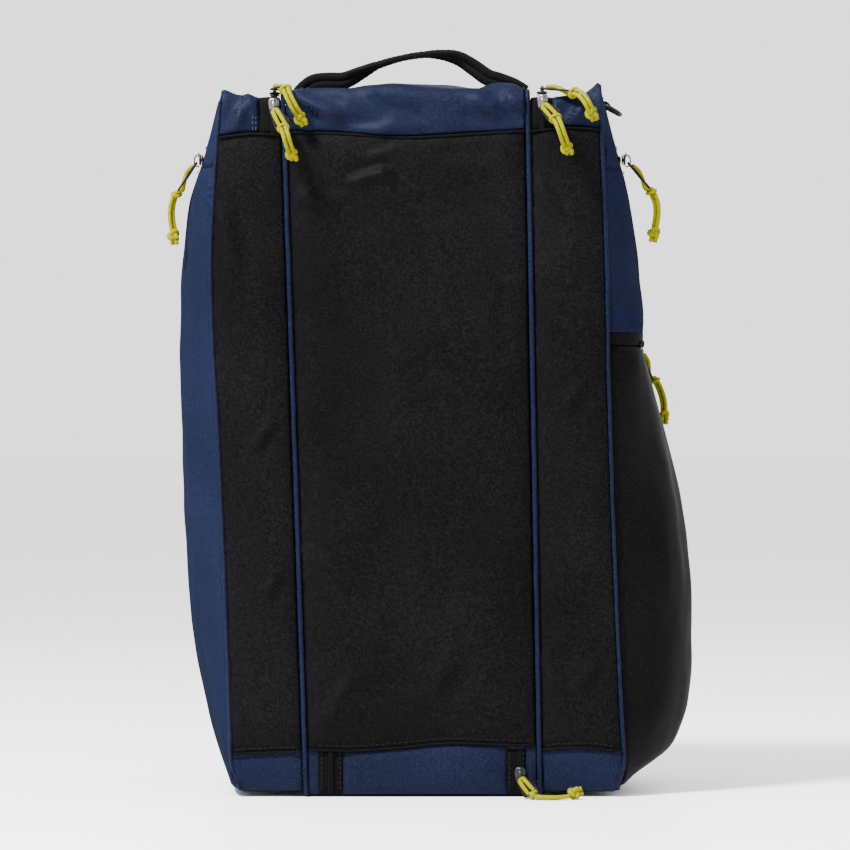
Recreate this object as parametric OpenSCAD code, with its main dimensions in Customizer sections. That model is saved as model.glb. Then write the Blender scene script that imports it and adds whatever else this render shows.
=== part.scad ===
// Racket backpack: three compartments side by side, upright on its flat base.
// Front faces -Y, +X is to the right of someone looking at the front, +Z is up.
// The origin is on the floor under the centre compartment, at mid depth.

/* [Body] */
// Height of the centre compartment
body_h = 566; // [500:1:640]
// Height of the two racket compartments
side_h = 561; // [495:1:635]
// Depth of the body from the front fabric to the back seam
body_d = 270; // [220:2:320]
// Thickness of the foam-lined fabric walls
wall = 2.5; // [2:0.5:4]
// Height of the navy band under the front panels
bottom_band_h = 36; // [25:1:50]
// Height at which the front panels end and the top band starts
panel_top = 530; // [480:1:590]
// Gap between pieces that are sewn side by side
seam = 0.3; // [0.2:0.1:0.6]

/* [Zips] */
// Distance of the left zip coil from the middle
left_zip_x = 117; // [112:1:120]
// Distance of the right zip coil from the middle
right_zip_x = 98; // [94:1:100]
// Length of a wire pull
pull_l = 27; // [20:1:34]
// Width of a wire pull at its lower bar
pull_w = 13; // [10:1:16]
// Wire of a pull
wire_d = 1.4; // [1:0.1:2]
// Diameter of the braided cord on the pulls
cord_d = 3.4; // [2.5:0.1:3.9]
// Diameter of the knot that ends each cord
knot_d = 11.6; // [9:0.2:14]

/* [Handle and harness] */
// Height of the top of the grab handle above the floor
handle_top = 598; // [590:1:620]
// Width of the grab handle's webbing
handle_w = 14; // [10:1:16]
// Width of a padded shoulder strap
strap_w = 58; // [45:1:70]
// Thickness of a padded shoulder strap
strap_t = 13; // [8:1:16]
// Width of the strap webbing
webbing_w = 25; // [20:1:30]

/* [Hidden] */
PULLS = ["left_front", "left_top", "right_front", "right_top",
    "left_flank", "right_flank", "accessory", "bottom"];

navy = "#22386b";
black = "#201e20";
yellow = "#e3dd0a";
steel = "#9a9aa2";
$fn = 48;

y_front = -body_d / 2 - 5;
y_skin = y_front + wall;
y_back = body_d / 2 - 5;
side_floor = 5;
piping_d = 4;
piping_gap = 2.4;
zip_half = 5.2;
lid_y0 = -104;
lid_y1 = 118;
tape_t = 1;

// Half outlines of the front, as [height, x]: the bag leans a little to the left as it rises
left_edge = [[5, -151], [36, -152], [198, -158], [286, -162], [374, -167], [438, -168],
    [528, -163], [561, -160]];
right_edge = [[5, 165], [318, 152], [430, 150], [530, 146], [561, 146]];
left_bulge = [[16, -157], [54, -170], [118, -182], [190, -189], [334, -195], [430, -193],
    [478, -186], [516, -175]];
right_bulge = [[366, 181], [398, 179], [438, 176], [478, 169], [502, 165], [516, 160]];
accessory_bulge = [[15, 171], [34, 202], [54, 212], [86, 219], [126, 220], [190, 218],
    [254, 209], [302, 197], [338, 185], [361, 180]];

function left_pipe_x(z) = -91 - 0.0334 * z;
function right_pipe_x(z) = 96 - 0.0175 * z;
function outline(edge, shift) = [for (p = edge) [p[1] + shift, p[0]]];
function back_to_front(list) = [for (i = [len(list) - 1 : -1 : 0]) list[i]];

// ---------------------------------------------------------------- general shapes

// Extrudes a figure drawn in x and z from y0 back to y1
module along_y(y0, y1) {
    translate([0, y1, 0])
        rotate([90, 0, 0])
            linear_extrude(y1 - y0)
                children();
}

// Extrudes a figure drawn in y and z from x0 to x1
module along_x(x0, x1) {
    translate([x0, 0, 0])
        rotate([90, 0, 90])
            linear_extrude(x1 - x0)
                children();
}

module box(low, high) {
    translate(low)
        cube(high - low);
}

function unit(v) = v / norm(v);
function normal_at(p, i) =
    let (a = p[max(i - 1, 0)], b = p[min(i + 1, len(p) - 1)], t = unit(b - a))
    [-t[1], t[0]];

// Band of thickness t that follows a line of points
module ribbon(points, t) {
    one_side = [for (i = [0 : len(points) - 1]) points[i] + normal_at(points, i) * t / 2];
    other_side = [for (i = [0 : len(points) - 1]) points[i] - normal_at(points, i) * t / 2];
    polygon(concat(one_side, back_to_front(other_side)));
}

module rod(p, q, d) {
    v = q - p;
    translate(p)
        rotate([0, acos(v[2] / norm(v)), atan2(v[1], v[0])])
            cylinder(d = d, h = norm(v));
}

// Round tube along a route of points in space
tube_sides = 8;
function tube_ring(route, i, d) =
    let (a = route[max(i - 1, 0)], b = route[min(i + 1, len(route) - 1)],
        t = unit(b - a), u = unit(cross(t, [0.3, 1, 0.2])), v = cross(t, u))
    [for (k = [0 : tube_sides - 1])
        route[i] + (u * cos(360 * k / tube_sides) + v * sin(360 * k / tube_sides)) * d / 2];

module tube(route, d) {
    n = len(route);
    points = [for (i = [0 : n - 1]) each tube_ring(route, i, d)];
    sides = [for (i = [0 : n - 2], k = [0 : tube_sides - 1])
        let (a = i * tube_sides + k, b = i * tube_sides + (k + 1) % tube_sides)
        each [[a, b, b + tube_sides], [a, b + tube_sides, a + tube_sides]]];
    caps = [[for (k = [tube_sides - 1 : -1 : 0]) k],
        [for (k = [0 : tube_sides - 1]) (n - 1) * tube_sides + k]];
    polyhedron(points, concat(sides, caps));
}

// ---------------------------------------------------------------- compartments

module centre_outline(t) {
    polygon([[left_pipe_x(t) + t, t], [right_pipe_x(t) - t, t],
        [right_pipe_x(body_h) - t, body_h - t], [left_pipe_x(body_h) + t, body_h - t]]);
}

module centre_shell() {
    color(navy)
        difference() {
            along_y(y_skin, y_back) centre_outline(0);
            along_y(y_skin - 1, y_back + 1) centre_outline(wall);
        }
}

module left_outline(t, open) {
    polygon(concat([[left_pipe_x(0) - seam + open, side_floor + t]],
        outline(left_edge, t == 0 ? 0 : t),
        [[left_pipe_x(side_h) - seam + open, side_h]]));
}

module left_room(t, open) {
    intersection() {
        left_outline(t, open);
        translate([-200, side_floor + t])
            square([160, side_h - side_floor - 2 * t]);
    }
}

module left_shell() {
    color(navy)
        difference() {
            along_y(y_skin, y_back) left_outline(0, 0);
            along_y(y_skin - 1, y_back - wall) left_room(wall, 20);
            box([-159.6, lid_y0 - seam, side_h - 10], [-left_zip_x - zip_half, lid_y1 + seam, side_h + 10]);
        }
}

module right_outline(t, open) {
    polygon(concat([[right_pipe_x(0) + seam - open, side_floor + t]],
        outline(right_edge, -t),
        [[right_pipe_x(side_h) + seam - open, side_h]]));
}

module right_room(t, open) {
    intersection() {
        right_outline(t, open);
        translate([50, side_floor + t])
            square([160, side_h - side_floor - 2 * t]);
    }
}

module right_shell() {
    color(navy)
        difference() {
            along_y(y_skin, y_back) right_outline(0, 0);
            along_y(y_skin - 1, y_back - wall) right_room(wall, 20);
            box([right_zip_x + zip_half, lid_y0 - seam, side_h - 10], [145.7, lid_y1 + seam, side_h + 10]);
        }
}

// ---------------------------------------------------------------- front skins

module between(low, high) {
    translate([-250, low])
        square([500, high - low]);
}

module front_panel_center() {
    color(black)
        along_y(y_front, y_skin)
            polygon([for (z = [bottom_band_h + seam, panel_top - seam])
                each [[left_pipe_x(z) + piping_gap, z], [right_pipe_x(z) - piping_gap, z]]],
                [[0, 1, 3, 2]]);
}

module front_panel_left() {
    color(black)
        along_y(y_front, y_skin)
            intersection() {
                polygon(concat(outline(left_edge, 1.5),
                    [[left_pipe_x(side_h) - piping_gap, side_h], [left_pipe_x(0) - piping_gap, 0]]));
                between(bottom_band_h + seam, panel_top - seam);
            }
}

module front_panel_right() {
    color(black)
        along_y(y_front, y_skin)
            intersection() {
                polygon(concat(outline(right_edge, -1.5),
                    [[right_pipe_x(side_h) + piping_gap, side_h], [right_pipe_x(0) + piping_gap, 0]]));
                between(bottom_band_h + seam, panel_top - seam);
            }
}

left_tape = [-128.5, -112.7];
right_tape = [89, 105.6];
bottom_left_tape = [-80.8, -61.6];
bottom_right_tape = [69.6, 84.8];

module top_band() {
    color(navy)
        along_y(y_front, y_skin) {
            polygon([[left_pipe_x(panel_top) + piping_gap, panel_top],
                [right_pipe_x(panel_top) - piping_gap, panel_top],
                [right_pipe_x(body_h) - piping_gap, body_h],
                [left_pipe_x(body_h) + piping_gap, body_h]]);
            polygon([[-161, panel_top], [left_tape[0] - seam, panel_top],
                [left_tape[0] - seam, side_h], [-150, side_h], [-160, side_h + 5], [-158.2, side_h + 0.5]]);
            polygon([[right_tape[1] + seam, panel_top], [144.3, panel_top], [144.3, side_h + 0.5],
                [146, side_h + 6], [136, side_h], [right_tape[1] + seam, side_h]]);
        }
}

module bottom_band() {
    color(navy)
        along_y(y_front, y_skin) {
            polygon([[-149.5, side_floor], [left_pipe_x(20) - piping_gap - 0.6, side_floor],
                [left_pipe_x(20) - piping_gap - 0.6, bottom_band_h], [-150.5, bottom_band_h]]);
            translate([left_pipe_x(0) + piping_gap, 0])
                square([bottom_left_tape[0] - seam - left_pipe_x(0) - piping_gap, bottom_band_h]);
            translate([bottom_left_tape[1] + seam, 0])
                square([bottom_right_tape[0] - bottom_left_tape[1] - 2 * seam, bottom_band_h]);
            translate([bottom_right_tape[1] + seam, 0])
                square([right_pipe_x(bottom_band_h) - piping_gap - bottom_right_tape[1] - seam,
                    bottom_band_h]);
            polygon([[right_pipe_x(0) + piping_gap, side_floor], [163.5, side_floor],
                [162, bottom_band_h], [right_pipe_x(0) + piping_gap, bottom_band_h]]);
        }
}

module pipings() {
    y_pipe = y_front + 0.4;
    color(navy) {
        rod([left_pipe_x(7), y_pipe, 7], [left_pipe_x(body_h), y_pipe, body_h], piping_d);
        rod([right_pipe_x(7), y_pipe, 7], [right_pipe_x(body_h), y_pipe, body_h], piping_d);
        along_y(y_front - 1, y_skin) {
            ribbon(outline(left_edge, 0), 2.4);
            ribbon(outline(right_edge, 0), 2.4);
        }
    }
}

// Straight zip tape on a flank, just above the mouth of a pocket
flank_zip_y = [-112, 104];
flank_zip_z = 512;
left_flank_zip_x = -175.5;
right_flank_zip_x = 163;
accessory_zip_x = 181;
accessory_zip_z = 367;

module zip_tapes() {
    color(black) {
        // Up the front and back along the top of each racket compartment
        box([left_tape[0], y_front, panel_top], [left_tape[1], y_skin, side_h]);
        box([right_tape[0], y_front, panel_top], [right_tape[1], y_skin, side_h]);
        box([-left_zip_x - zip_half, y_front, side_h], [left_tape[1], lid_y1, side_h + tape_t]);
        box([left_tape[0], y_front, side_h], [-left_zip_x - zip_half, lid_y0 - seam, side_h + tape_t]);
        box([right_tape[0], y_front, side_h], [right_zip_x + zip_half, lid_y1, side_h + tape_t]);
        box([right_zip_x + zip_half, y_front, side_h], [right_tape[1], lid_y0 - seam, side_h + tape_t]);
        // The two ends of the main zip, below the front panels
        box([bottom_left_tape[0], y_front, 0], [bottom_left_tape[1], y_skin, bottom_band_h]);
        box([bottom_right_tape[0], y_front, 0], [bottom_right_tape[1], y_skin, bottom_band_h]);
        // The pocket mouths on the flanks
        box([left_flank_zip_x, flank_zip_y[0], flank_zip_z - 8], [-164.7, flank_zip_y[1], flank_zip_z + 8]);
        box([147.4, flank_zip_y[0], flank_zip_z - 8], [right_flank_zip_x, flank_zip_y[1], flank_zip_z + 8]);
        box([152.8, flank_zip_y[0], accessory_zip_z - 5],
            [accessory_zip_x, flank_zip_y[1], accessory_zip_z + 5]);
    }
}

// ---------------------------------------------------------------- pockets

// Outline seen from above: flat against the flank and bulging outward between its ends
module pocket_plan(base_x, reach, y0, y1) {
    steps = 20;
    middle = (y0 + y1) / 2;
    half = (y1 - y0) / 2;
    polygon([for (i = [0 : steps])
        let (s = 2 * i / steps - 1)
        [base_x + reach * (1 - pow(abs(s), 3.2)), middle + half * s]]);
}

module pocket_solid(edge, bulge, base_x, reach, z0, z1, y0, y1) {
    intersection() {
        along_y(y0, y1)
            intersection() {
                polygon(concat(outline(edge, 0), back_to_front(outline(bulge, 0))));
                between(z0, z1);
            }
        translate([0, 0, z0 - 1])
            linear_extrude(z1 - z0 + 2)
                pocket_plan(base_x, reach, y0, y1);
    }
}

function moved(edge, shift) = [for (p = edge) [p[0], p[1] + shift]];

module left_pocket() {
    color(navy)
        difference() {
            pocket_solid(moved(left_edge, -seam), left_bulge, -152, -45, 17, 503.5, -136, 127);
            pocket_solid(moved(left_edge, 8), moved(left_bulge, wall), -140, -54.5, 21, 499, -132, 123);
        }
}

module right_pocket() {
    color(navy)
        difference() {
            pocket_solid(moved(right_edge, seam), right_bulge, 147, 35, 372.5, 503.5, -136, 127);
            pocket_solid(moved(right_edge, -8), moved(right_bulge, -wall), 139, 40.5, 376, 499, -132, 123);
        }
}

module accessory_pocket() {
    color(black)
        difference() {
            pocket_solid(moved(right_edge, seam), accessory_bulge, 150, 71, 15, 361.5, -136, 112);
            pocket_solid(moved(right_edge, -8), moved(accessory_bulge, -wall), 140, 78.5,
                19, 357, -132, 108);
        }
}

// ---------------------------------------------------------------- opening flaps

module left_lid() {
    color(navy)
        box([-159.3, lid_y0, side_h - 2.2], [-left_zip_x - zip_half - seam, lid_y1, side_h]);
}

module right_lid() {
    color(navy)
        box([right_zip_x + zip_half + seam, lid_y0, side_h - 2.2], [145.4, lid_y1, side_h]);
}

lid_back = y_back + seam;
lid_t = 3.7;
pad_t = 12;
lid_z = [10, 556];

module back_lid() {
    color(navy)
        along_y(lid_back, lid_back + lid_t)
            polygon([[left_pipe_x(0) + 1, lid_z[0]], [right_pipe_x(0) - 1, lid_z[0]],
                [right_pipe_x(560) - 1, lid_z[1]], [left_pipe_x(560) + 1, lid_z[1]]]);
}

strap_x = [-52, 38];
pad_w = 66;
pad_z = [126, 462];
pad_y = lid_back + lid_t;

module rounded_slab(w, h, r) {
    translate([r, 0]) square([w - 2 * r, h]);
    translate([0, r]) square([w, h - 2 * r]);
    for (x = [r, w - r], z = [r, h - r])
        translate([x, z]) circle(r);
}

module back_pads() {
    color(black)
        along_y(pad_y, pad_y + pad_t)
            for (x = strap_x)
                translate([x - pad_w / 2, pad_z[0]])
                    rounded_slab(pad_w, pad_z[1] - pad_z[0], 16);
}

// Side view of a padded strap, from its top anchor round to its lower end, as [y, z]
strap_line = [[pad_y + 6.8, 530], [pad_y + 12, 516], [pad_y + 30, 490], [pad_y + 42, 450], [pad_y + 48, 400],
    [pad_y + 48, 340], [pad_y + 44, 290], [pad_y + 37, 250], [pad_y + 31, 225]];

module strap(x) {
    color(black)
        along_x(x - strap_w / 2, x + strap_w / 2)
            ribbon(strap_line, strap_t);
}

lock_z = 200;
lock_y = pad_y + 27;

module strap_webbings() {
    color(black)
        for (x = strap_x)
            along_x(x - webbing_w / 2, x + webbing_w / 2)
                ribbon([[lock_y - 1, lock_z - 13.5], [pad_y + 20, 150], [pad_y + 8, 100], [pad_y + 1.2, 74],
                    [pad_y + 1.2, 60]], 1.8);
}

module ladder_locks() {
    color("#151515")
        for (x = strap_x)
            difference() {
                box([x - 17, lock_y - 4, lock_z - 13], [x + 17, lock_y + 4, lock_z + 15]);
                for (z = [lock_z - 9, lock_z + 4])
                    box([x - 13.2, lock_y - 5, z], [x + 13.2, lock_y + 5, z + 7]);
            }
}

// Free end of the strap webbing, in front of the lock
module tail(x) {
    color(black)
        box([x - webbing_w / 2, lock_y + 4.5, 96], [x + webbing_w / 2, lock_y + 6.3, lock_z + 6]);
}

// ---------------------------------------------------------------- handle and ring

handle_y = -118;
handle_z = 575;
hub_d = 11;
handle_line = [[-93, handle_z + 2], [-85, handle_z + 4], [-66, handle_z + 6], [-45, handle_top - 9],
    [-28, handle_top - 5.5], [0, handle_top - 4.4], [24, handle_top - 4.4], [44, handle_top - 7],
    [58, handle_top - 14], [70, handle_z + 4], [81, handle_z + 2]];

module handle() {
    color(black) {
        along_y(handle_y - handle_w / 2, handle_y + handle_w / 2)
            ribbon(handle_line, 7);
        for (x = [-97, 76])
            translate([x, handle_y, handle_z])
                rotate([0, 90, 0])
                    cylinder(d = hub_d, h = 10);
    }
}

ring_x = 151.5;
ring_z = 557.5;
ring_y = -62;
ring_bar = 3;
ring_half = 12;
ring_reach = 14;
ring_droop = 30;

module webbing_tabs() {
    color(black) {
        for (x = [-98, 75])
            box([x, handle_y - 10, body_h], [x + 12, handle_y + 10, body_h + 1.7]);
        difference() {
            box([146.3, ring_y - 8, ring_z - 5], [ring_x + 2.4, ring_y + 8, ring_z + 3]);
            translate([ring_x, ring_y + 9, ring_z])
                rotate([90, 0, 0])
                    cylinder(d = ring_bar + 0.8, h = 18);
        }
    }
}

module d_ring() {
    color(black)
        translate([ring_x, ring_y, ring_z])
            rotate([0, ring_droop, 0]) {
                translate([0, ring_half, 0])
                    rotate([90, 0, 0])
                        cylinder(d = ring_bar, h = 2 * ring_half);
                for (y = [-ring_half, ring_half - ring_bar])
                    box([0, y, -ring_bar / 2], [ring_reach, y + ring_bar, ring_bar / 2]);
                box([ring_reach - ring_bar, -ring_half, -ring_bar / 2],
                    [ring_reach, ring_half, ring_bar / 2]);
            }
}

// ---------------------------------------------------------------- zip pulls

// Each slider stands on its tape: where it is, how its outward side (-Y here) is turned,
// how its pull swings in the plane of the tape and tilts away from it, and its plate.
lug_out = 5.4;
lug_down = 2.5;
upright_plate = [9, 12];
level_plate = [12, 9];
// [place, turn, swing, tilt, plate]
SEATS = [
    [[-left_zip_x, y_front, 553], [0, 0, 0], -28, 50, upright_plate],
    [[-left_zip_x, -118, side_h + tape_t], [-90, 0, 0], -20, 0, upright_plate],
    [[right_zip_x, y_front, 556], [0, 0, 0], -40, 58, upright_plate],
    [[right_zip_x, -128, side_h + tape_t], [-90, 0, 0], -63, -6, upright_plate],
    [[left_flank_zip_x, -95, flank_zip_z], [0, 0, -90], 0, 33, level_plate],
    [[right_flank_zip_x, -95, flank_zip_z], [0, 0, 90], 0, 40, level_plate],
    [[accessory_zip_x, 85, accessory_zip_z - 4], [0, 0, 90], 0, 22, level_plate],
    [[80, y_front, 18], [0, 0, 0], -40, 60, upright_plate]];

// Middle line between the two strands of each cord, from its pull to its knot
ROUTES = [
    [[-109, -166, 534], [-108, -174, 532], [-106, -179, 526], [-104, -176, 519], [-102.5, -169, 515]],
    [[-107.5, -147.5, 566], [-106.5, -155, 564], [-104, -160, 558], [-100, -160, 550.5], [-96.5, -156, 545]],
    [[107, -168, 542], [109, -175, 538.5], [111.5, -178, 532], [114, -175, 525], [116, -168, 520]],
    [[122, -144, 563], [125, -152, 563], [129, -159, 560], [133, -162, 554], [136, -159, 548]],
    [[-196, -95, 486], [-199, -95, 481], [-201, -95, 473], [-201, -95, 464], [-199.5, -95, 455]],
    [[186, -95, 488], [189, -95, 483], [191.5, -95, 475], [191.5, -95, 466], [190, -95, 457]],
    [[197, 85, 337], [200.5, 85, 332], [203.5, 85, 325], [205.5, 85, 317], [206, 85, 308.5]],
    [[89, -169, 5], [94, -173, 2.6], [102, -175, 2.2], [111, -174, 2.2], [119, -171, 3]]];
KNOTS = [
    [-101, -163, 511], [-94, -151, 540], [118, -162, 516], [138, -154, 544],
    [-199, -95, 448], [189, -95, 450], [206, 85, 302.5], [125, -168, 6]];

// Which way each pair of strands lies side by side
ACROSS = [[0.8, 0, 0.3], [0.8, 0, 0.4], [0.8, 0, 0.4], [0.6, 0, 0.7],
    [0.7, 0.7, 0.2], [0.7, -0.7, 0.2], [0.7, -0.7, 0.2], [0.3, 1, 0]];
strand_gap = 1.9;

module seated(i) {
    translate(SEATS[i][0])
        rotate(SEATS[i][1])
            children();
}

module slider(i) {
    plate = SEATS[i][4];
    color(steel)
        seated(i) {
            box([-plate[0] / 2, -3.4, -plate[1] / 2], [plate[0] / 2, -0.4, plate[1] / 2]);
            difference() {
                box([-0.9, -7.4, -4.4], [0.9, -3.4, 1.5]);
                translate([0, -lug_out, -lug_down])
                    rotate([0, SEATS[i][2] + 90, 0])
                        cylinder(d = wire_d + 0.8, h = 12, center = true);
            }
        }
}

module pull(i) {
    neck = 7;
    color("#141414")
        seated(i)
            translate([0, -lug_out, -lug_down])
                rotate([0, SEATS[i][2], 0])
                    rotate([-SEATS[i][3], 0, 0]) {
                        translate([-neck / 2, 0, 0])
                            rotate([0, 90, 0])
                                cylinder(d = wire_d, h = neck);
                        along_y(-wire_d / 2, wire_d / 2)
                            difference() {
                                polygon([[-neck / 2, 0], [neck / 2, 0],
                                    [pull_w / 2, -pull_l], [-pull_w / 2, -pull_l]]);
                                polygon([[-neck / 2 + wire_d, 1], [neck / 2 - wire_d, 1],
                                    [pull_w / 2 - wire_d, wire_d - pull_l],
                                    [wire_d - pull_w / 2, wire_d - pull_l]]);
                            }
                    }
}

module cord(i) {
    side = unit(ACROSS[i]) * strand_gap;
    color(yellow)
        for (s = [-1, 1])
            tube([for (p = ROUTES[i]) p + side * s], cord_d);
}

module knot(i) {
    color(yellow)
        translate(KNOTS[i])
            sphere(d = knot_d);
}

// ---------------------------------------------------------------- nodes

centre_shell();
front_panel_center();
front_panel_left();
front_panel_right();
left_shell();
right_shell();
top_band();
bottom_band();
pipings();
zip_tapes();
webbing_tabs();
left_pocket();
right_pocket();
accessory_pocket();
left_lid();
right_lid();
handle();
d_ring();
back_lid();
back_pads();
strap(strap_x[0]);  // strap_left
strap(strap_x[1]);  // strap_right
strap_webbings();
ladder_locks();
tail(strap_x[0]);  // tail_left
tail(strap_x[1]);  // tail_right
for (i = [0 : len(PULLS) - 1]) {
    slider(i);
    pull(i);
    cord(i);
    knot(i);
}
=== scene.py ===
"""Racket backpack: every visible piece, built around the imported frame.

Shapes are worked out in millimetres, in the frame's own axes (+Z up, front towards -Y), and turned into
metres when a mesh is made."""
import math

import bpy
from mathutils import Matrix, Vector, noise


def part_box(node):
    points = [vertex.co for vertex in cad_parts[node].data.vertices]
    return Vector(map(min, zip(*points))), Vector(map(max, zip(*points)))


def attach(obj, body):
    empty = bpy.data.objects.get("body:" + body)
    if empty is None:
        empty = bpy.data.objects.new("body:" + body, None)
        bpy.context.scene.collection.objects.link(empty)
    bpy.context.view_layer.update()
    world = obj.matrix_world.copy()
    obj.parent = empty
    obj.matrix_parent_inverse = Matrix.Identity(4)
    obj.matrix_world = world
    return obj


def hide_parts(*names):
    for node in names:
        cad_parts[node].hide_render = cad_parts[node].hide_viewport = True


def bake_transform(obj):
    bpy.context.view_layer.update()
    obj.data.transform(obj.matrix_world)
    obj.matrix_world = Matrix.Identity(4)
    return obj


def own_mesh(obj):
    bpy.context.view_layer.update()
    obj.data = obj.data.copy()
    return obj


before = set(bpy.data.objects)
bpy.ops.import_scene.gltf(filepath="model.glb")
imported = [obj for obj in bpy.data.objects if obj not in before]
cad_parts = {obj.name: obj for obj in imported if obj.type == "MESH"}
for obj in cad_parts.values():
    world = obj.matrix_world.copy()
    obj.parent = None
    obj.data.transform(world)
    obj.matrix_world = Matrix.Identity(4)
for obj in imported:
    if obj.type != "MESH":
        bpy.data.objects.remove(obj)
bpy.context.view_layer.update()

MM = 0.001


def node_box(name):
    """A CAD node's lowest and highest corners, in millimetres."""
    low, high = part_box(name)
    return low / MM, high / MM


# ------------------------------------------------------------------ sizes from the frame

PANEL_LOW = node_box("front_panel_center")[0]
SHELL_HIGH = node_box("centre_shell")[1]
SIDE_LOW, SIDE_HIGH = node_box("left_shell")
DOOR_LOW, DOOR_HIGH = node_box("back_lid")
PADS_LOW, PADS_HIGH = node_box("back_pads")
Y_FRONT = PANEL_LOW.y
Y_BACK = SHELL_HIGH.y
TOP = SHELL_HIGH.z
SIDE_TOP = SIDE_HIGH.z
SIDE_FLOOR = SIDE_LOW.z

# Half outlines of the front, as (height, x)
LEFT_EDGE = ((5, -151), (36, -152), (198, -158), (286, -162), (374, -167), (438, -168), (528, -163),
             (561, -160))
RIGHT_EDGE = ((5, 165), (160, 157.5), (318, 152), (430, 150), (530, 146), (561, 146))
LEFT_BULGE = ((5, -154), (16, -157), (54, -170), (118, -182), (190, -189), (334, -195), (430, -193),
              (478, -186), (512, -176), (530, -170), (561, -163))
RIGHT_BULGE = ((5, 168), (366, 181), (398, 179), (438, 176), (478, 169), (512, 162), (530, 156), (561, 149))
ACCESSORY_BULGE = ((9, 168), (15, 176), (34, 202), (54, 212), (86, 219), (126, 220), (190, 218), (254, 209),
                   (302, 197), (338, 186), (363, 179))


def lookup(table, z):
    """Smooth value at height z of a table of (height, value)."""
    if z <= table[0][0]:
        return table[0][1]
    if z >= table[-1][0]:
        return table[-1][1]
    for i in range(len(table) - 1):
        if z <= table[i + 1][0]:
            break
    z0, v0 = table[i]
    z1, v1 = table[i + 1]
    before = table[max(i - 1, 0)]
    after = table[min(i + 2, len(table) - 1)]
    slope0 = (v1 - before[1]) / (z1 - before[0])
    slope1 = (after[1] - v0) / (after[0] - z0)
    h = z1 - z0
    t = (z - z0) / h
    return (v0 * (2 * t**3 - 3 * t**2 + 1) + slope0 * h * (t**3 - 2 * t**2 + t)
            + v1 * (3 * t**2 - 2 * t**3) + slope1 * h * (t**3 - t**2))


def corner_in(z):
    """How far the two outer corners are drawn in towards the floor."""
    return 7 * max(0.0, 1 - (z - SIDE_FLOOR) / 13) ** 2


def left_edge(z):
    return lookup(LEFT_EDGE, z) + corner_in(z)


def right_edge(z):
    return lookup(RIGHT_EDGE, z) - corner_in(z)


def left_pipe(z):
    return -91 - 0.0334 * z


def right_pipe(z):
    return 96 - 0.0175 * z


def mix(a, b, t):
    return a + (b - a) * t


def bump(t):
    """0 at both ends and 1 in the middle, steep at the ends."""
    return max(0.0, 1 - abs(2 * t - 1) ** 2.6) ** 0.8


# ------------------------------------------------------------------ materials

def new_material(name):
    material = bpy.data.materials.new(name)
    material.use_nodes = True
    nodes = material.node_tree.nodes
    return material, nodes, material.node_tree.links, nodes["Principled BSDF"]


def add(nodes, kind, **inputs):
    """A shader node with these inputs set; an underscore in a name stands for a space."""
    made = nodes.new("ShaderNode" + kind)
    for key, value in inputs.items():
        made.inputs[key.replace("_", " ")].default_value = value
    return made


def twill(nodes, links, coordinates, period, flip):
    """Fine diagonal rib of the weave; period in metres."""
    placed = add(nodes, "Mapping", Scale=flip)
    links.new(coordinates, placed.inputs["Vector"])
    wave = add(nodes, "TexWave", Scale=2 * math.pi / (10 * period), Distortion=0.6, Detail=1.0,
               Detail_Scale=2.0)
    wave.bands_direction = "DIAGONAL"
    links.new(placed.outputs["Vector"], wave.inputs["Vector"])
    return wave.outputs["Fac"]


def math_node(nodes, links, operation, a, b):
    made = nodes.new("ShaderNodeMath")
    made.operation = operation
    for socket, value in zip(made.inputs, (a, b)):
        if isinstance(value, (int, float)):
            socket.default_value = value
        else:
            links.new(value, socket)
    return made.outputs[0]


def fabric(name, color, shade, rough=0.85, sheen=0.03, tint=(1, 1, 1), period=0.0013, depth=0.00025,
           patch=0.25,
           gloss=0.03):
    """Woven cloth: crossed fine ribs, slubs and slow changes of tone."""
    material, nodes, links, shader = new_material(name)
    coordinates = nodes.new("ShaderNodeTexCoord").outputs["Object"]
    one = twill(nodes, links, coordinates, period, (1, 1, 1))
    other = twill(nodes, links, coordinates, period * 0.8, (1, 1, -1))
    weave = math_node(nodes, links, "MULTIPLY", one, other)
    slub = add(nodes, "TexNoise", Scale=620.0, Detail=2.0)
    links.new(coordinates, slub.inputs["Vector"])
    tone = add(nodes, "TexNoise", Scale=11.0, Detail=3.0)
    links.new(coordinates, tone.inputs["Vector"])
    grain = math_node(nodes, links, "MULTIPLY", math_node(nodes, links, "ADD", weave, slub.outputs["Fac"]),
                      0.6)
    both = math_node(nodes, links, "ADD", grain,
                     math_node(nodes, links, "MULTIPLY", tone.outputs["Fac"], patch))
    ramp = nodes.new("ShaderNodeValToRGB")
    ramp.color_ramp.elements[0].position = 0.42
    ramp.color_ramp.elements[1].position = 0.74
    ramp.color_ramp.elements[0].color = (*shade, 1)
    ramp.color_ramp.elements[1].color = (*color, 1)
    links.new(both, ramp.inputs["Fac"])
    links.new(ramp.outputs["Color"], shader.inputs["Base Color"])
    raised = add(nodes, "Bump", Strength=0.55, Distance=depth)
    links.new(grain, raised.inputs["Height"])
    links.new(raised.outputs["Normal"], shader.inputs["Normal"])
    shader.inputs["Roughness"].default_value = rough
    shader.inputs["Sheen Weight"].default_value = sheen
    shader.inputs["Sheen Roughness"].default_value = 0.5
    shader.inputs["Sheen Tint"].default_value = (*tint, 1)
    shader.inputs["Specular IOR Level"].default_value = gloss
    return material


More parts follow.
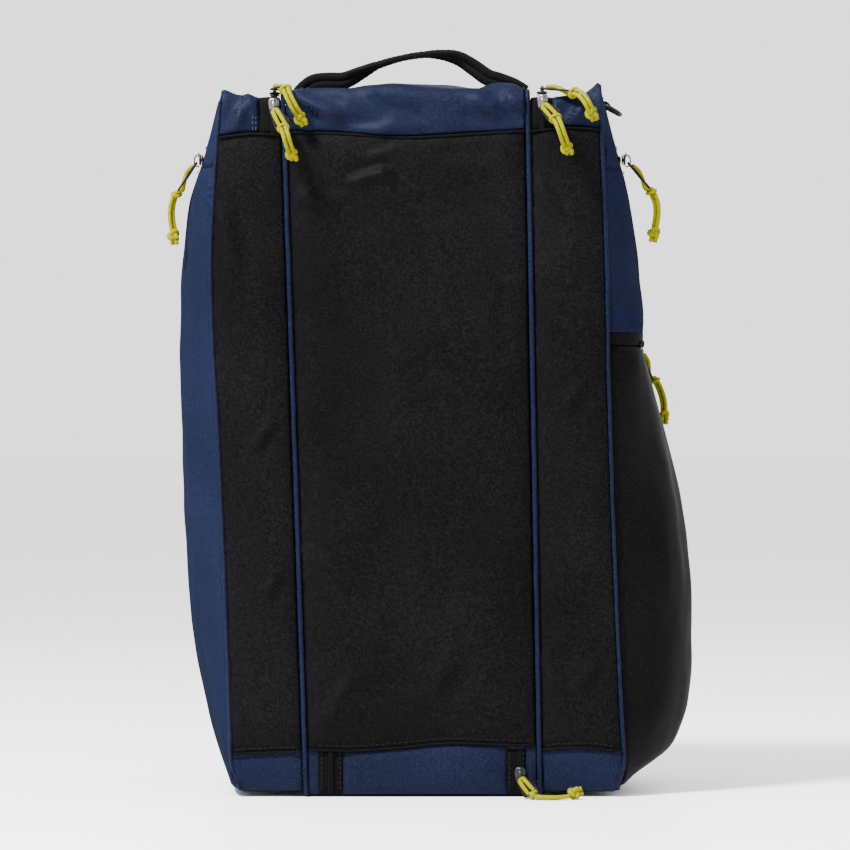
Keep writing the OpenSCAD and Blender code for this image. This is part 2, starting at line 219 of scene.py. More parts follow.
def solid(name, color, rough, metallic=0.0, scale=300.0, depth=0.00005, spread=0.08):
    """Moulded or plated surface with a faint grain and uneven gloss."""
    material, nodes, links, shader = new_material(name)
    coordinates = nodes.new("ShaderNodeTexCoord").outputs["Object"]
    grain = add(nodes, "TexNoise", Scale=scale, Detail=3.0)
    links.new(coordinates, grain.inputs["Vector"])
    ramp = nodes.new("ShaderNodeValToRGB")
    ramp.color_ramp.elements[0].position = 0.3
    ramp.color_ramp.elements[1].position = 0.7
    ramp.color_ramp.elements[0].color = (*(c * 0.75 for c in color), 1)
    ramp.color_ramp.elements[1].color = (*color, 1)
    links.new(grain.outputs["Fac"], ramp.inputs["Fac"])
    links.new(ramp.outputs["Color"], shader.inputs["Base Color"])
    uneven = nodes.new("ShaderNodeMapRange")
    uneven.inputs["To Min"].default_value = rough - spread
    uneven.inputs["To Max"].default_value = rough + spread
    links.new(grain.outputs["Fac"], uneven.inputs["Value"])
    links.new(uneven.outputs["Result"], shader.inputs["Roughness"])
    raised = add(nodes, "Bump", Strength=0.3, Distance=depth)
    links.new(grain.outputs["Fac"], raised.inputs["Height"])
    links.new(raised.outputs["Normal"], shader.inputs["Normal"])
    shader.inputs["Metallic"].default_value = metallic
    return material


NAVY = fabric("navy_cloth", (0.0070, 0.0096, 0.0250), (0.0008, 0.0014, 0.0046), sheen=0.0, rough=0.45,
              gloss=0.022)
# Same navy cloth on the flanks, as a lit copy: a painted tone of its own and less gloss, set for the light that
# grazes them
NAVY_SIDE_PAINTED_LIGHT = fabric("navy_side_painted_light_cloth", (0.0086, 0.0118, 0.0290), (0.0020, 0.0028, 0.0075), sheen=0.0,
                   gloss=0.003)
BLACK = fabric("black_cloth", (0.0062, 0.0057, 0.0063), (0.0001, 0.0001, 0.0001), sheen=0.0,
               rough=0.45, gloss=0.010)
LINING = fabric("lining_cloth", (0.030, 0.030, 0.032), (0.015, 0.015, 0.016), period=0.002)
TAPE = fabric("zip_tape_cloth", (0.0026, 0.0026, 0.0028), (0.0006, 0.0006, 0.0006), rough=0.8, sheen=0.004,
              period=0.0010)
WEBBING = fabric("webbing_cloth", (0.0036, 0.0036, 0.0039), (0.0010, 0.0010, 0.0011), rough=0.7, sheen=0.008,
                 period=0.0024, depth=0.0004)
MESH = fabric("spacer_mesh", (0.0070, 0.0070, 0.0075), (0.0012, 0.0012, 0.0013), rough=0.9, sheen=0.01,
              period=0.0034, depth=0.0009)
CORD = fabric("cord_braid", (0.165, 0.158, 0.0), (0.085, 0.078, 0.0), rough=0.6, sheen=0.0, period=0.0009,
              depth=0.0002, patch=0.4)
THREAD = fabric("thread", (0.008, 0.018, 0.05), (0.004, 0.009, 0.026), rough=0.6, period=0.0006)
PALE_THREAD = fabric("pale_thread", (0.042, 0.050, 0.068), (0.022, 0.027, 0.04), rough=0.6, period=0.0006)
DARK_THREAD = fabric("dark_thread", (0.0055, 0.0055, 0.006), (0.003, 0.003, 0.003), rough=0.6, period=0.0006)
STEEL = solid("plated_slider", (0.16, 0.16, 0.17), 0.32, metallic=1.0)
WIRE = solid("coated_wire", (0.003, 0.003, 0.003), 0.6)
WIRE.node_tree.nodes["Principled BSDF"].inputs["Specular IOR Level"].default_value = 0.1
DARK_METAL = solid("dark_slider", (0.018, 0.018, 0.019), 0.45, metallic=0.8)
PLASTIC = solid("black_acetal", (0.004, 0.004, 0.0043), 0.55, scale=900.0)
PLASTIC.node_tree.nodes["Principled BSDF"].inputs["Specular IOR Level"].default_value = 0.12

# ------------------------------------------------------------------ mesh making

def piece(name, verts, faces, material, body, slot, replaced=()):
    """A mesh piece from points in millimetres that rides on a body."""
    mesh = bpy.data.meshes.new(name)
    mesh.from_pydata([tuple(c * MM for c in v) for v in verts], [], faces)
    mesh.validate()
    mesh.polygons.foreach_set("use_smooth", [True] * len(mesh.polygons))
    mesh.materials.append(material)
    obj = bpy.data.objects.new(name, mesh)
    bpy.context.scene.collection.objects.link(obj)
    if body:
        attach(obj, body)
    if replaced:
        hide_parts(*replaced)
    return obj


def grid_faces(nu, nv):
    columns = nu + 1
    faces = []
    for j in range(nv):
        for i in range(nu):
            a = j * columns + i
            b = a + 1
            faces.append((a, b, b + columns, a + columns))
    return faces


def cloth(name, point, nu, nv, material, body, slot, replaced=(), thick=1.6):
    """A sheet from point(u, v), doubled inward by thick so that it is a closed solid."""
    top = [[Vector(point(i / nu, j / nv)) for i in range(nu + 1)] for j in range(nv + 1)]
    verts, normals = [], []
    for j in range(nv + 1):
        for i in range(nu + 1):
            across = top[j][min(i + 1, nu)] - top[j][max(i - 1, 0)]
            along = top[min(j + 1, nv)][i] - top[max(j - 1, 0)][i]
            normal = across.cross(along)
            normals.append(normal.normalized() if normal.length > 1e-9 else Vector((0, -1, 0)))
            verts.append(top[j][i])
    count = len(verts)
    under = [v - n * thick for v, n in zip(verts, normals)]
    faces = grid_faces(nu, nv)
    back = [tuple(reversed([k + count for k in f])) for f in faces]
    columns = nu + 1
    rim = ([i for i in range(nu)] + [j * columns + nu for j in range(nv)]
           + [nv * columns + i for i in range(nu, 0, -1)] + [j * columns for j in range(nv, 0, -1)])
    sides = []
    for k in range(len(rim)):
        a, b = rim[k], rim[(k + 1) % len(rim)]
        sides.append((b, a, a + count, b + count))
    return piece(name, verts + under, faces + back + sides, material, body, slot, replaced)


def ring_frame(path, i, closed):
    n = len(path)
    ahead = path[(i + 1) % n] if closed or i < n - 1 else path[i]
    behind = path[(i - 1) % n] if closed or i > 0 else path[i]
    return (ahead - behind).normalized()


def sweep(path, section, closed=False, up=Vector((0.31, 0.2, 0.93))):
    """Points and faces of section(i, u, v) carried along a path; i is the place on it."""
    verts, faces = [], []
    n = len(path)
    u = None
    sides = 0
    for i in range(n):
        tangent = ring_frame(path, i, closed)
        if u is None:
            u = tangent.cross(up).normalized()
        u = (u - tangent * u.dot(tangent)).normalized()
        v = tangent.cross(u)
        ring = section(i, u, v)
        sides = len(ring)
        verts += [path[i] + p for p in ring]
    for i in range(n if closed else n - 1):
        for k in range(sides):
            a, b = i * sides + k, i * sides + (k + 1) % sides
            c, d = ((i + 1) % n) * sides + (k + 1) % sides, ((i + 1) % n) * sides + k
            faces.append((a, b, c, d))
    if not closed:
        faces.append(tuple(reversed(range(sides))))
        faces.append(tuple(range((n - 1) * sides, n * sides)))
    return verts, faces


def swept(name, path, section, material, body, slot, replaced=(), **more):
    """A piece made by sweeping a section along a path."""
    verts, faces = sweep(path, section, **more)
    return piece(name, verts, faces, material, body, slot, replaced)


def steps(low, high, count):
    """Evenly spaced values from low to high, both ends included."""
    return [mix(low, high, k / count) for k in range(count + 1)]


def round_section(radius, sides=12):
    def section(i, u, v):
        r = radius(i) if callable(radius) else radius
        return [u * r * math.cos(2 * math.pi * k / sides) + v * r * math.sin(2 * math.pi * k / sides)
                for k in range(sides)]
    return section


def smooth_path(points, step=2.0, closed=False):
    """Catmull-Rom curve through the points, with a point about every step."""
    points = [Vector(p) for p in points]
    n = len(points)
    out = []
    for i in range(n if closed else n - 1):
        def at(k):
            return points[k % n] if closed else points[min(max(k, 0), n - 1)]
        p0, p1, p2, p3 = at(i - 1), at(i), at(i + 1), at(i + 2)
        count = max(1, int((p2 - p1).length / step))
        for k in range(count):
            t = k / count
            out.append(0.5 * ((2 * p1) + (p2 - p0) * t + (2 * p0 - 5 * p1 + 4 * p2 - p3) * t * t
                              + (3 * p1 - p0 - 3 * p2 + p3) * t**3))
    if not closed:
        out.append(points[-1])
    return out



def stitches(name, points, outward, material, body, slot, length=2.6, gap=1.5, width=0.55):
    """A row of separate stitches along a line; each is a small long bead lying on the cloth."""
    path = smooth_path(points, 0.5)
    verts, faces = [], []
    run, start = 0.0, 0
    for i in range(1, len(path)):
        run += (path[i] - path[i - 1]).length
        if run < length:
            continue
        a, b = path[start], path[i]
        out = Vector(outward(a) if callable(outward) else outward).normalized()
        along = (b - a).normalized()
        side = along.cross(out).normalized()
        base = len(verts)
        for share, lift, half in ((0.0, -0.25, 0.3), (0.2, 0.22, 1.0), (0.8, 0.22, 1.0), (1.0, -0.25, 0.3)):
            middle = a.lerp(b, share)
            verts += [middle + side * width / 2 * half + out * (lift - 0.15),
                      middle + out * (lift + 0.2 * half),
                      middle - side * width / 2 * half + out * (lift - 0.15)]
        for r in range(3):
            for k in range(3):
                p, q = base + r * 3 + k, base + r * 3 + (k + 1) % 3
                faces.append((p, q, q + 3, p + 3))
        faces += [(base + 2, base + 1, base), (base + 9, base + 10, base + 11)]
        run = -gap
        start = i
        while start < len(path) - 1 and (path[start] - b).length < gap:
            start += 1
    return piece(name, verts, faces, material, body, slot)


# ------------------------------------------------------------------ wrinkles

def drift(p, size, seed):
    """Smooth noise, about -1 to 1, with features of that size in millimetres."""
    return noise.noise(Vector((p[0] / size + seed * 7.3, p[1] / size + seed * 3.1, p[2] / size - seed * 5.7)))


def rumple(x, z, seed, strength=1.0):
    """Soft unevenness of stretched cloth seen from outside, in millimetres; x and z span the cloth."""
    broad = drift((x, 0, z * 0.5), 70, seed)
    medium = drift((x, 0, z * 0.35), 22, seed + 4)
    small = drift((x, 0, z), 9, seed + 9)
    return strength * (1.3 * broad + 0.75 * medium + 0.16 * small)


def crease(x, z, a, b, width, depth):
    """A straight fold from a to b on the cloth, fading at its ends."""
    ax, az = a
    bx, bz = b
    dx, dz = bx - ax, bz - az
    length2 = dx * dx + dz * dz
    t = ((x - ax) * dx + (z - az) * dz) / length2
    if t < -0.1 or t > 1.1:
        return 0.0
    off = ((x - ax) * dz - (z - az) * dx) / math.sqrt(length2)
    fade = max(0.0, 1 - abs(2 * t - 1) ** 3)
    near = math.exp(-(off / width) ** 2)
    lip = math.exp(-((off - 1.6 * width) / width) ** 2)
    return 1.9 * depth * fade * (0.7 * near - 0.9 * lip)


def pucker(distance, along, seed, strength=0.7):
    """Small puckers where the cloth runs into a seam."""
    return strength * math.exp(-distance / 7) * drift((along, 0, 0), 7, seed)


# ------------------------------------------------------------------ camera, floor and light

CAMERA_AWAY = 4.0
VIEW_WIDTH = 0.680
VIEW_X = 0.004
VIEW_Z = 0.2976
SENSOR = 36.0

scene = bpy.context.scene
camera_data = bpy.data.cameras.new("camera")
camera_data.sensor_width = SENSOR
camera_data.lens = SENSOR * CAMERA_AWAY / VIEW_WIDTH
camera = bpy.data.objects.new("camera", camera_data)
camera.location = (VIEW_X, Y_FRONT * MM - CAMERA_AWAY, VIEW_Z)
camera.rotation_euler = (math.pi / 2, 0, 0)
scene.collection.objects.link(camera)
scene.camera = camera

floor_mesh = bpy.data.meshes.new("floor")
floor_mesh.from_pydata([(-40, -40, 0), (40, -40, 0), (40, 40, 0), (-40, 40, 0)], [], [(0, 1, 2, 3)])
floor_material, *_, floor_shader = new_material("pale_floor")
floor_shader.inputs["Base Color"].default_value = (0.93, 0.93, 0.935, 1)
floor_shader.inputs["Roughness"].default_value = 0.35
floor_shader.inputs["Specular IOR Level"].default_value = 0.35
floor_mesh.materials.append(floor_material)
floor = bpy.data.objects.new("floor", floor_mesh)
scene.collection.objects.link(floor)

world = bpy.data.worlds.new("studio")
world.use_nodes = True
world.node_tree.nodes["Background"].inputs["Color"].default_value = (1, 1, 1, 1)
world.node_tree.nodes["Background"].inputs["Strength"].default_value = 2.0
scene.world = world


def area_light(name, place, target, size, power):
    data = bpy.data.lights.new(name, "AREA")
    data.shape = "RECTANGLE"
    data.size, data.size_y = size
    data.energy = power
    light = bpy.data.objects.new(name, data)
    light.location = place
    light.rotation_euler = (Vector(target) - Vector(place)).to_track_quat("-Z", "Y").to_euler()
    scene.collection.objects.link(light)


area_light("key", (-1.3, -1.5, 2.7), (0, 0, 0.3), (0.6, 0.6), 520)
area_light("fill", (1.9, -1.5, 1.0), (0, 0, 0.3), (1.2, 1.6), 7)
area_light("front", (0.0, -3.2, 1.6), (0, 0, 0.3), (2.0, 1.2), 12)
area_light("rim", (-1.4, 1.6, 1.4), (0, 0, 0.35), (1.2, 1.2), 10)
area_light("rim_right", (1.8, 0.9, 1.2), (0.15, 0, 0.3), (1.2, 1.2), 16)

# ------------------------------------------------------------------ zip pulls and their cords

LUG = Vector((0, -5.4, -2.5))
PULL_LENGTH = 27
CORD_RADIUS = 1.7
STRAND_GAP = 1.9
# place of the slider, how its outward side is turned, its pull's swing and tilt, and whether its zip
# runs level
SEATS = {
    "left_front": ((-117, Y_FRONT, 553), (0, 0, 0), -28, 50, False),
    "left_top": ((-117, -118, 562), (-90, 0, 0), -20, 0, False),
    "right_front": ((98, Y_FRONT, 556), (0, 0, 0), -40, 58, False),
    "right_top": ((98, -128, 562), (-90, 0, 0), -63, -6, False),
    "left_flank": ((-175.5, -95, 512), (0, 0, -90), 0, 33, True),
    "right_flank": ((163, -95, 512), (0, 0, 90), 0, 40, True),
    "accessory": ((181, 85, 363), (0, 0, 90), 0, 22, True),
    "bottom": ((80, Y_FRONT, 18), (0, 0, 0), -40, 60, False),
}
# Middle line between the two strands of each cord, as in the model
ROUTES = {
    "left_front": ((-109, -166, 534), (-108, -174, 532), (-106, -179, 526), (-104, -176, 519),
                   (-102.5, -169, 515)),
    "left_top": ((-107.5, -147.5, 566), (-106.5, -155, 564), (-104, -160, 558), (-100, -160, 550.5),
                 (-96.5, -156, 545)),
    "right_front": ((107, -168, 542), (109, -175, 538.5), (111.5, -178, 532), (114, -175, 525),
                    (116, -168, 520)),
    "right_top": ((122, -144, 563), (125, -152, 563), (129, -159, 560), (133, -162, 554), (136, -159, 548)),
    "left_flank": ((-196, -95, 486), (-199, -95, 481), (-201, -95, 473), (-201, -95, 464),
                   (-199.5, -95, 455)),
    "right_flank": ((186, -95, 488), (189, -95, 483), (191.5, -95, 475), (191.5, -95, 466), (190, -95, 457)),
    "accessory": ((197, 85, 337), (200.5, 85, 332), (203.5, 85, 325), (205.5, 85, 317), (206, 85, 308.5)),
    "bottom": ((89, -169, 5), (94, -173, 2.6), (102, -175, 2.2), (111, -174, 2.2), (119, -171, 3)),
}
KNOTS = {
    "left_front": (-101, -163, 511), "left_top": (-94, -151, 540), "right_front": (118, -162, 516),
    "right_top": (138, -154, 544), "left_flank": (-199, -95, 448), "right_flank": (189, -95, 450),
    "accessory": (206, 85, 302.5), "bottom": (125, -168, 6),
}
ACROSS = {
    "left_front": (0.8, 0, 0.3), "left_top": (0.8, 0, 0.4), "right_front": (0.8, 0, 0.4),
          "right_top": (0.6, 0, 0.7),
    "left_flank": (0.7, 0.7, 0.2), "right_flank": (0.7, -0.7, 0.2), "accessory": (0.7, -0.7, 0.2),
          "bottom": (0.3, 1, 0),
}


def turned(angles):
    x, y, z = (math.radians(a) for a in angles)
    return Matrix.Rotation(z, 4, "Z") @ Matrix.Rotation(y, 4, "Y") @ Matrix.Rotation(x, 4, "X")


def seat_matrix(name):
    place, turn = SEATS[name][:2]
    return Matrix.Translation(place) @ turned(turn)


def pull_matrix(name):
    swing, tilt = SEATS[name][2:4]
    return seat_matrix(name) @ Matrix.Translation(LUG) @ turned((0, swing, 0)) @ turned((-tilt, 0, 0))


def braid(path, radius, pitch=5.2, sides=20):
    """Round braided cord along a fine path: crossing ridges wind both ways round it."""
    lengths = [0.0]
    for i in range(1, len(path)):
        lengths.append(lengths[-1] + (path[i] - path[i - 1]).length)

    def section(i, u, v):
        ring = []
        phase = 2 * math.pi * lengths[i] / pitch
        for k in range(sides):
            angle = 2 * math.pi * k / sides
            ridge = max(abs(math.sin(2 * angle + phase)), abs(math.sin(2 * angle - phase)))
            r = radius * (0.84 + 0.16 * ridge)
            ring.append(u * r * math.cos(angle) + v * r * math.sin(angle))
        return ring
    return sweep(path, section)


def join(parts):
    """Several (points, faces) lists as one."""
    verts, faces = [], []
    for part_verts, part_faces in parts:
        base = len(verts)
        verts += part_verts
        faces += [tuple(k + base for k in f) for f in part_faces]
    return verts, faces


def knot_mesh(centre, heading, seed):
    """Overhand knot with two cut ends that point along heading."""
    forward = Vector(heading).normalized()
    flat = forward.cross(Vector((0.2, 1, 0.1))).normalized()
    deep = forward.cross(flat)
    centre = Vector(centre)
    scale = 1.28

    def at(t):
        a = (math.sin(t) + 2 * math.sin(2 * t)) * scale
        b = (math.cos(t) - 2 * math.cos(2 * t)) * scale
        c = -math.sin(3 * t) * scale * 1.35
        return centre + forward * a + flat * b + deep * c

    steps = 90
    loop = [at(2 * math.pi * k / steps + seed) for k in range(steps)]
    parts = [sweep(loop, round_section(lambda i: 2.0 + 0.14 * math.sin(i * 1.9), 14), closed=True)]
    for side in (-1, 1):
        tip = forward * 6.9 + flat * side * 2.0 + deep * side * 0.7
        ends = smooth_path([centre + forward * 1.5 + flat * side, centre + forward * 4.4 + flat * side * 1.6,
                            centre + tip], 0.5)
        parts.append(sweep(ends, round_section(lambda i: 1.7 + 0.2 * (i / len(ends)) ** 3, 12)))
    return join(parts)


def cord_pieces(name, index):
    """The two strands, the hitch round the pull and the end knot."""
    route = [Vector(p) for p in ROUTES[name]]
    side = Vector(ACROSS[name]).normalized() * STRAND_GAP
    tab = name + "_tab"
    heading = (Vector(KNOTS[name]) - route[-2]).normalized()
    knot_verts, knot_faces = knot_mesh(Vector(KNOTS[name]) - heading * 2.8, heading, 0.35 * index)
    knot = piece(name + "_end_knot", knot_verts, knot_faces, CORD, tab, "cord_yellow", [name + "_knot"])
    strands = []
    for label, sign in (("a", -1), ("b", 1)):
        path = smooth_path([p + side * sign for p in route], 0.4)
        strand = piece(f"{name}_strand_{label}", *braid(path, CORD_RADIUS), CORD, tab, "cord_yellow",
                       [name + "_cord"])
        strands.append(strand)
    to_place = pull_matrix(name)
    away = (route[1] - route[0]).normalized()
    out = side.cross(away).normalized()
    bight = [route[0] - side + away * 3, route[0] - side * 1.05]
    bight += [to_place @ Vector(p) for p in ((-2.4, 2.3, -24), (-2.3, -0.6, -17), (-2.0, -2.3, -11),
                                             (-1.7, -1.8, -6.2), (0, -1.4, -4.4), (1.7, -1.8, -6.2),
                                             (2.0, -2.3, -11), (2.3, -0.6, -17), (2.4, 2.3, -24))]
    if (bight[2] - bight[1]).length > (bight[-1] - bight[1]).length:
        bight[2:] = bight[:1:-1]
    bight += [route[0] + side * 1.05, route[0] + side + away * 3]
    collar_middle = route[0] + away * 2.2
    wide = side.normalized() * 3.9
    collar = smooth_path([collar_middle + wide * math.cos(a) + out * 2.7 * math.sin(a)
                          for a in (2 * math.pi * k / 12 for k in range(12))], 0.5, closed=True)
    hitch_verts, hitch_faces = join([braid(smooth_path(bight, 0.5), 1.75),
                                     sweep(collar, round_section(1.5, 12), closed=True)])
    hitch = piece(name + "_hitch", hitch_verts, hitch_faces, CORD, tab, "cord_yellow")
    return [knot, hitch] + strands


soft_pulls = {name: cord_pieces(name, index) for index, name in enumerate(SEATS)}
for name in ("left_top", "right_top"):
    for soft in soft_pulls[name]:
        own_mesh(soft)


def wire_pull(name):
    """Closed loop of coated wire, narrow at the slider and wider where the cord is hitched."""
    to_place = pull_matrix(name)
    half_neck, half_bar, end = 2.8, 5.8, -PULL_LENGTH + 0.7
    right_side = [(half_neck, 0, 0), (half_neck + 0.7, 0, -0.9), (half_neck + 1.0, 0, -4), (4.7, 0, -14),
                  (half_bar - 0.1, 0, -22.5), (half_bar, 0, end + 1.6), (half_bar - 0.5, 0, end + 0.4),
                  (half_bar - 1.6, 0, end)]
    loop = right_side + [(0, 0, end)] + [(-x, y, z) for x, y, z in reversed(right_side)] + [(0, 0, 0)]
    path = smooth_path(loop, 0.8, closed=True)
    swept(name + "_wire", [to_place @ p for p in path], round_section(0.85), WIRE, name + "_tab", "pull_wire",
          [name + "_pull"], closed=True)


def plate_outline(scale):
    """Shield shape of a slider's plate: across, along."""
    points = [(0, 6.2), (2.6, 5.9), (4.2, 4.2), (4.5, 2.0), (3.9, -1.5), (3.4, -4.6), (2.4, -6.0)]
    return [(x * scale, z * scale) for x,
            z in points] + [(-x * scale, z * scale) for x, z in reversed(points[1:])]


def plate(level, y_low, y_high, scale):
    """Plate of a slider with softened edges, between two distances out from the tape."""
    rings = ((y_low, scale * 0.93), (y_low - 0.25, scale), (y_high + 0.45, scale), (y_high, scale * 0.86))
    verts, faces = [], []
    for y, s in rings:
        for a, b in plate_outline(s):
            verts.append(Vector((b, y, a)) if level else Vector((a, y, b)))
    count = len(verts) // len(rings)
    for r in range(len(rings) - 1):
        for k in range(count):
            a, b = r * count + k, r * count + (k + 1) % count
            faces.append((a, b, b + count, a + count))
    faces.append(tuple(reversed(range(count))))
    faces.append(tuple(range((len(rings) - 1) * count, len(rings) * count)))
    if level:
        faces = [tuple(reversed(f)) for f in faces]
    return verts, faces


def strip_section(width, height):
    """Rounded flat bar, width along u and height along v."""
    def section(i, u, v):
        corner = 0.3 * height
        w, h = width / 2, height / 2
        outline = [(w, -h + corner), (w, h - corner), (w - corner, h), (-w + corner, h), (-w, h - corner),
                   (-w, -h + corner), (-w + corner, -h), (w - corner, -h)]
        return [u * a + v * b for a, b in outline]
    return section


SILVER = ("left_front", "right_front")


def zip_slider(name):
    level = SEATS[name][4]
    to_place = seat_matrix(name)
    body = join([plate(level, -0.2, -1.0, 0.96), plate(level, -1.6, -3.2, 1.0)])
    post = [Vector((0, -0.9, 4.3)), Vector((0, -1.8, 4.3))]
    if level:
        post = [Vector((4.3, -0.9, 0)), Vector((4.3, -1.8, 0))]
    neck = sweep(post, strip_section(2.4, 2.2))
    arch = smooth_path([(0, -2.9, 3.9), (0, -4.4, 3.9), (0, -6.3, 2.6), (0, -7.0, 0.4), (0, -7.1, -2.4),
                        (0, -6.6, -4.4), (0, -4.8, -5.3), (0, -3.0, -5.3)], 0.6)
    bail = sweep(arch, strip_section(2.5, 1.0), up=Vector((0, -1, 0.01)))
    rivet = sweep([Vector((0, -3.0, 3.9)), Vector((0, -3.9, 3.9))], round_section(1.9, 16))
    verts, faces = join([body, neck, bail, rivet])
    return piece(name + "_zip_slider", [to_place @ v for v in verts], faces,
                 STEEL if name in SILVER else DARK_METAL,
                 name + "_runner", "slider_metal", [name + "_slider"])


for pull_name in SEATS:
    wire_pull(pull_name)
    zip_slider(pull_name)

# ------------------------------------------------------------------ front skins

PIPE_GAP = 2.2
FRONT_CELL = 2.6


def front_patch(name, left, right, low, high, material, slot, crown=3.0, seed=1, folds=(), under=0.0,
                replaced=(), rough=1.0):
    """Cloth on the front between two seam lines.

    low and high are heights, or functions of the share across.
    """
    low_at = low if callable(low) else (lambda u: low)
    high_at = high if callable(high) else (lambda u: high)
    middle = (low_at(0.5) + high_at(0.5)) / 2
    width = abs(right(middle) - left(middle))
    height = high_at(0.5) - low_at(0.5)

    def point(u, v):
        z = mix(low_at(u), high_at(u), v)
        x = mix(left(z), right(z), u)
        side = min(u, 1 - u) * width
        end = min(v, 1 - v) * height
        puffed = (1 - math.exp(-side / 9)) * (1 - math.exp(-(end + 1) / 7))
        y = Y_FRONT + 1.2 - (crown + 1.2) * puffed - rumple(x, z, seed, rough) * puffed
        y -= pucker(side, z, seed + 2) + pucker(end, x, seed + 3, 0.4)
        for fold in folds:
            y += crease(x, z, *fold)
        y = min(y, Y_FRONT + 1.4)
        if under and z < low_at(u) + under:
            drop = (low_at(u) + under - z) / under
            y += under * (1 - math.sqrt(max(0.0, 1 - drop * drop)))
        return (x, y, z)

    return cloth(name, point, max(6, int(width / FRONT_CELL)), max(8, int(height / FRONT_CELL)), material,
                 "bag", slot,
                 replaced)


def wavy(*heights):
    """Height along an edge, smooth through evenly spaced values."""
    table = tuple((k / (len(heights) - 1), h) for k, h in enumerate(heights))
    return lambda u: lookup(table, u)


LEFT_TOP_LINE = wavy(528.6, 531.5, 530.6)
CENTRE_TOP_LINE = wavy(533, 531.4, 528.6, 531, 534)
RIGHT_TOP_LINE = wavy(533.6, 536.2, 535)
LEFT_LOW_LINE = wavy(33, 34.4, 35.2)
CENTRE_LOW_LINE = wavy(36.8, 36, 38.4, 42, 41, 40)
RIGHT_LOW_LINE = wavy(36.8, 38.4, 35.4)

front_patch("front_center_cloth", lambda z: left_pipe(z) + PIPE_GAP, lambda z: right_pipe(z) - PIPE_GAP,
            CENTRE_LOW_LINE, CENTRE_TOP_LINE, BLACK, "black_fabric", crown=4.2, seed=3,
            replaced=["front_panel_center"],
            folds=(((-62, 498), (-22, 510), 5, 2.0), ((-30, 508), (-14, 494), 4, 1.8),
                   ((-44, 518), (-20, 524), 4, 1.2),
                   ((-100, 492), (-60, 486), 7, 1.2), ((20, 520), (60, 512), 8, 1.2),
                   ((-90, 60), (-58, 110), 7, 1.2),
                   ((40, 110), (20, 70), 9, 1.2), ((-30, 96), (10, 84), 6, 0.8),
                   ((60, 440), (74, 350), 10, 0.9),
                   ((-92, 330), (-70, 300), 5, 0.8), ((-94, 210), (-76, 190), 5, 0.8)))
front_patch("front_left_cloth", lambda z: left_edge(z) + 1.6, lambda z: left_pipe(z) - PIPE_GAP,
            LEFT_LOW_LINE, LEFT_TOP_LINE, BLACK, "black_fabric", crown=3.2, seed=11,
            replaced=["front_panel_left"],
            folds=(((-110, 300), (-128, 270), 5, 1.2), ((-150, 480), (-135, 420), 7, 1.2),
                   ((-104, 180), (-120, 150), 5, 1.0), ((-148, 90), (-130, 60), 7, 1.0)))
front_patch("front_right_cloth", lambda z: right_pipe(z) + PIPE_GAP, lambda z: right_edge(z) - 1.6,
            RIGHT_LOW_LINE, RIGHT_TOP_LINE, BLACK, "black_fabric", crown=3.2, seed=17,
            replaced=["front_panel_right"],
            folds=(((100, 500), (120, 470), 6, 1.2), ((140, 330), (122, 300), 6, 1.0),
                   ((104, 120), (122, 90), 6, 1.2), ((150, 110), (138, 80), 6, 1.0)))


def hem(name, left, right, line, seed, lift=0.0):
    """Folded edge of a black panel: a narrow welt along its end."""
    path = []
    for k in range(41):
        u = k / 40
        z = line(u) + lift
        path.append((mix(left(z), right(z), u),
                     Y_FRONT - 0.6 - 0.5 * bump(u) + 0.25 * drift((u * 90, 0, 0), 6, seed), z))
    fine = smooth_path(path, 2.5)
    verts, faces = sweep(fine, lambda i, u, v: [u * 0.8 * math.cos(a) + v * 1.1 * math.sin(a)
                                                for a in (2 * math.pi * k / 10 for k in range(10))],
                         up=Vector((0, 0, 1)))
    piece(name + "_welt", verts, faces, BLACK, "bag", "black_fabric")


for label, left, right, top_line, low_line in (
        ("left", lambda z: left_edge(z) + 2, lambda z: left_pipe(z) - 2.4, LEFT_TOP_LINE, LEFT_LOW_LINE),
        ("center", lambda z: left_pipe(z) + 2.4, lambda z: right_pipe(z) - 2.4, CENTRE_TOP_LINE,
         CENTRE_LOW_LINE),
        ("right", lambda z: right_pipe(z) + 2.4, lambda z: right_edge(z) - 2, RIGHT_TOP_LINE,
         RIGHT_LOW_LINE)):
    hem(f"front_{label}_top", left, right, top_line, 5, -1.0)
    hem(f"front_{label}_low", left, right, low_line, 8, 1.0)
    stitches(f"front_{label}_low_stitch",
             [(mix(left(40), right(40), k / 20), Y_FRONT - 2.2, low_line(k / 20) + 5) for k in range(1, 20)],
             (0, -1, 0), DARK_THREAD, "bag", "black_fabric")

# ------------------------------------------------------------------ top of the bag

TOP_RADIUS = 9.0
TOP_FOLD_GAIN = 1.6
TAPE_LEFT = (-128.5, -112.7)
TAPE_RIGHT = (89.0, 105.6)
LID_Y = (-104.0, 118.0)
LEFT_ZIP = -117.0
RIGHT_ZIP = 98.0
LID_EDGE_LEFT = LEFT_ZIP - 5.3
LID_EDGE_RIGHT = RIGHT_ZIP + 5.3


def over_top(distance, z_start, top):
    """Point (y, z) and outward direction at a distance up the front and back over the top."""
    r = TOP_RADIUS
    rise = top - r - z_start
    quarter = math.pi * r / 2
    if distance < rise:
        return Y_FRONT, z_start + distance, (-1, 0)
    if distance < rise + quarter:
        a = (distance - rise) / r
        return Y_FRONT + r * (1 - math.cos(a)), top - r + r * math.sin(a), (-math.cos(a), math.sin(a))
    return Y_FRONT + r + distance - rise - quarter, top, (0, 1)


def top_length(z_start, top, y_end):
    return top - TOP_RADIUS - z_start + math.pi * TOP_RADIUS / 2 + y_end - Y_FRONT - TOP_RADIUS


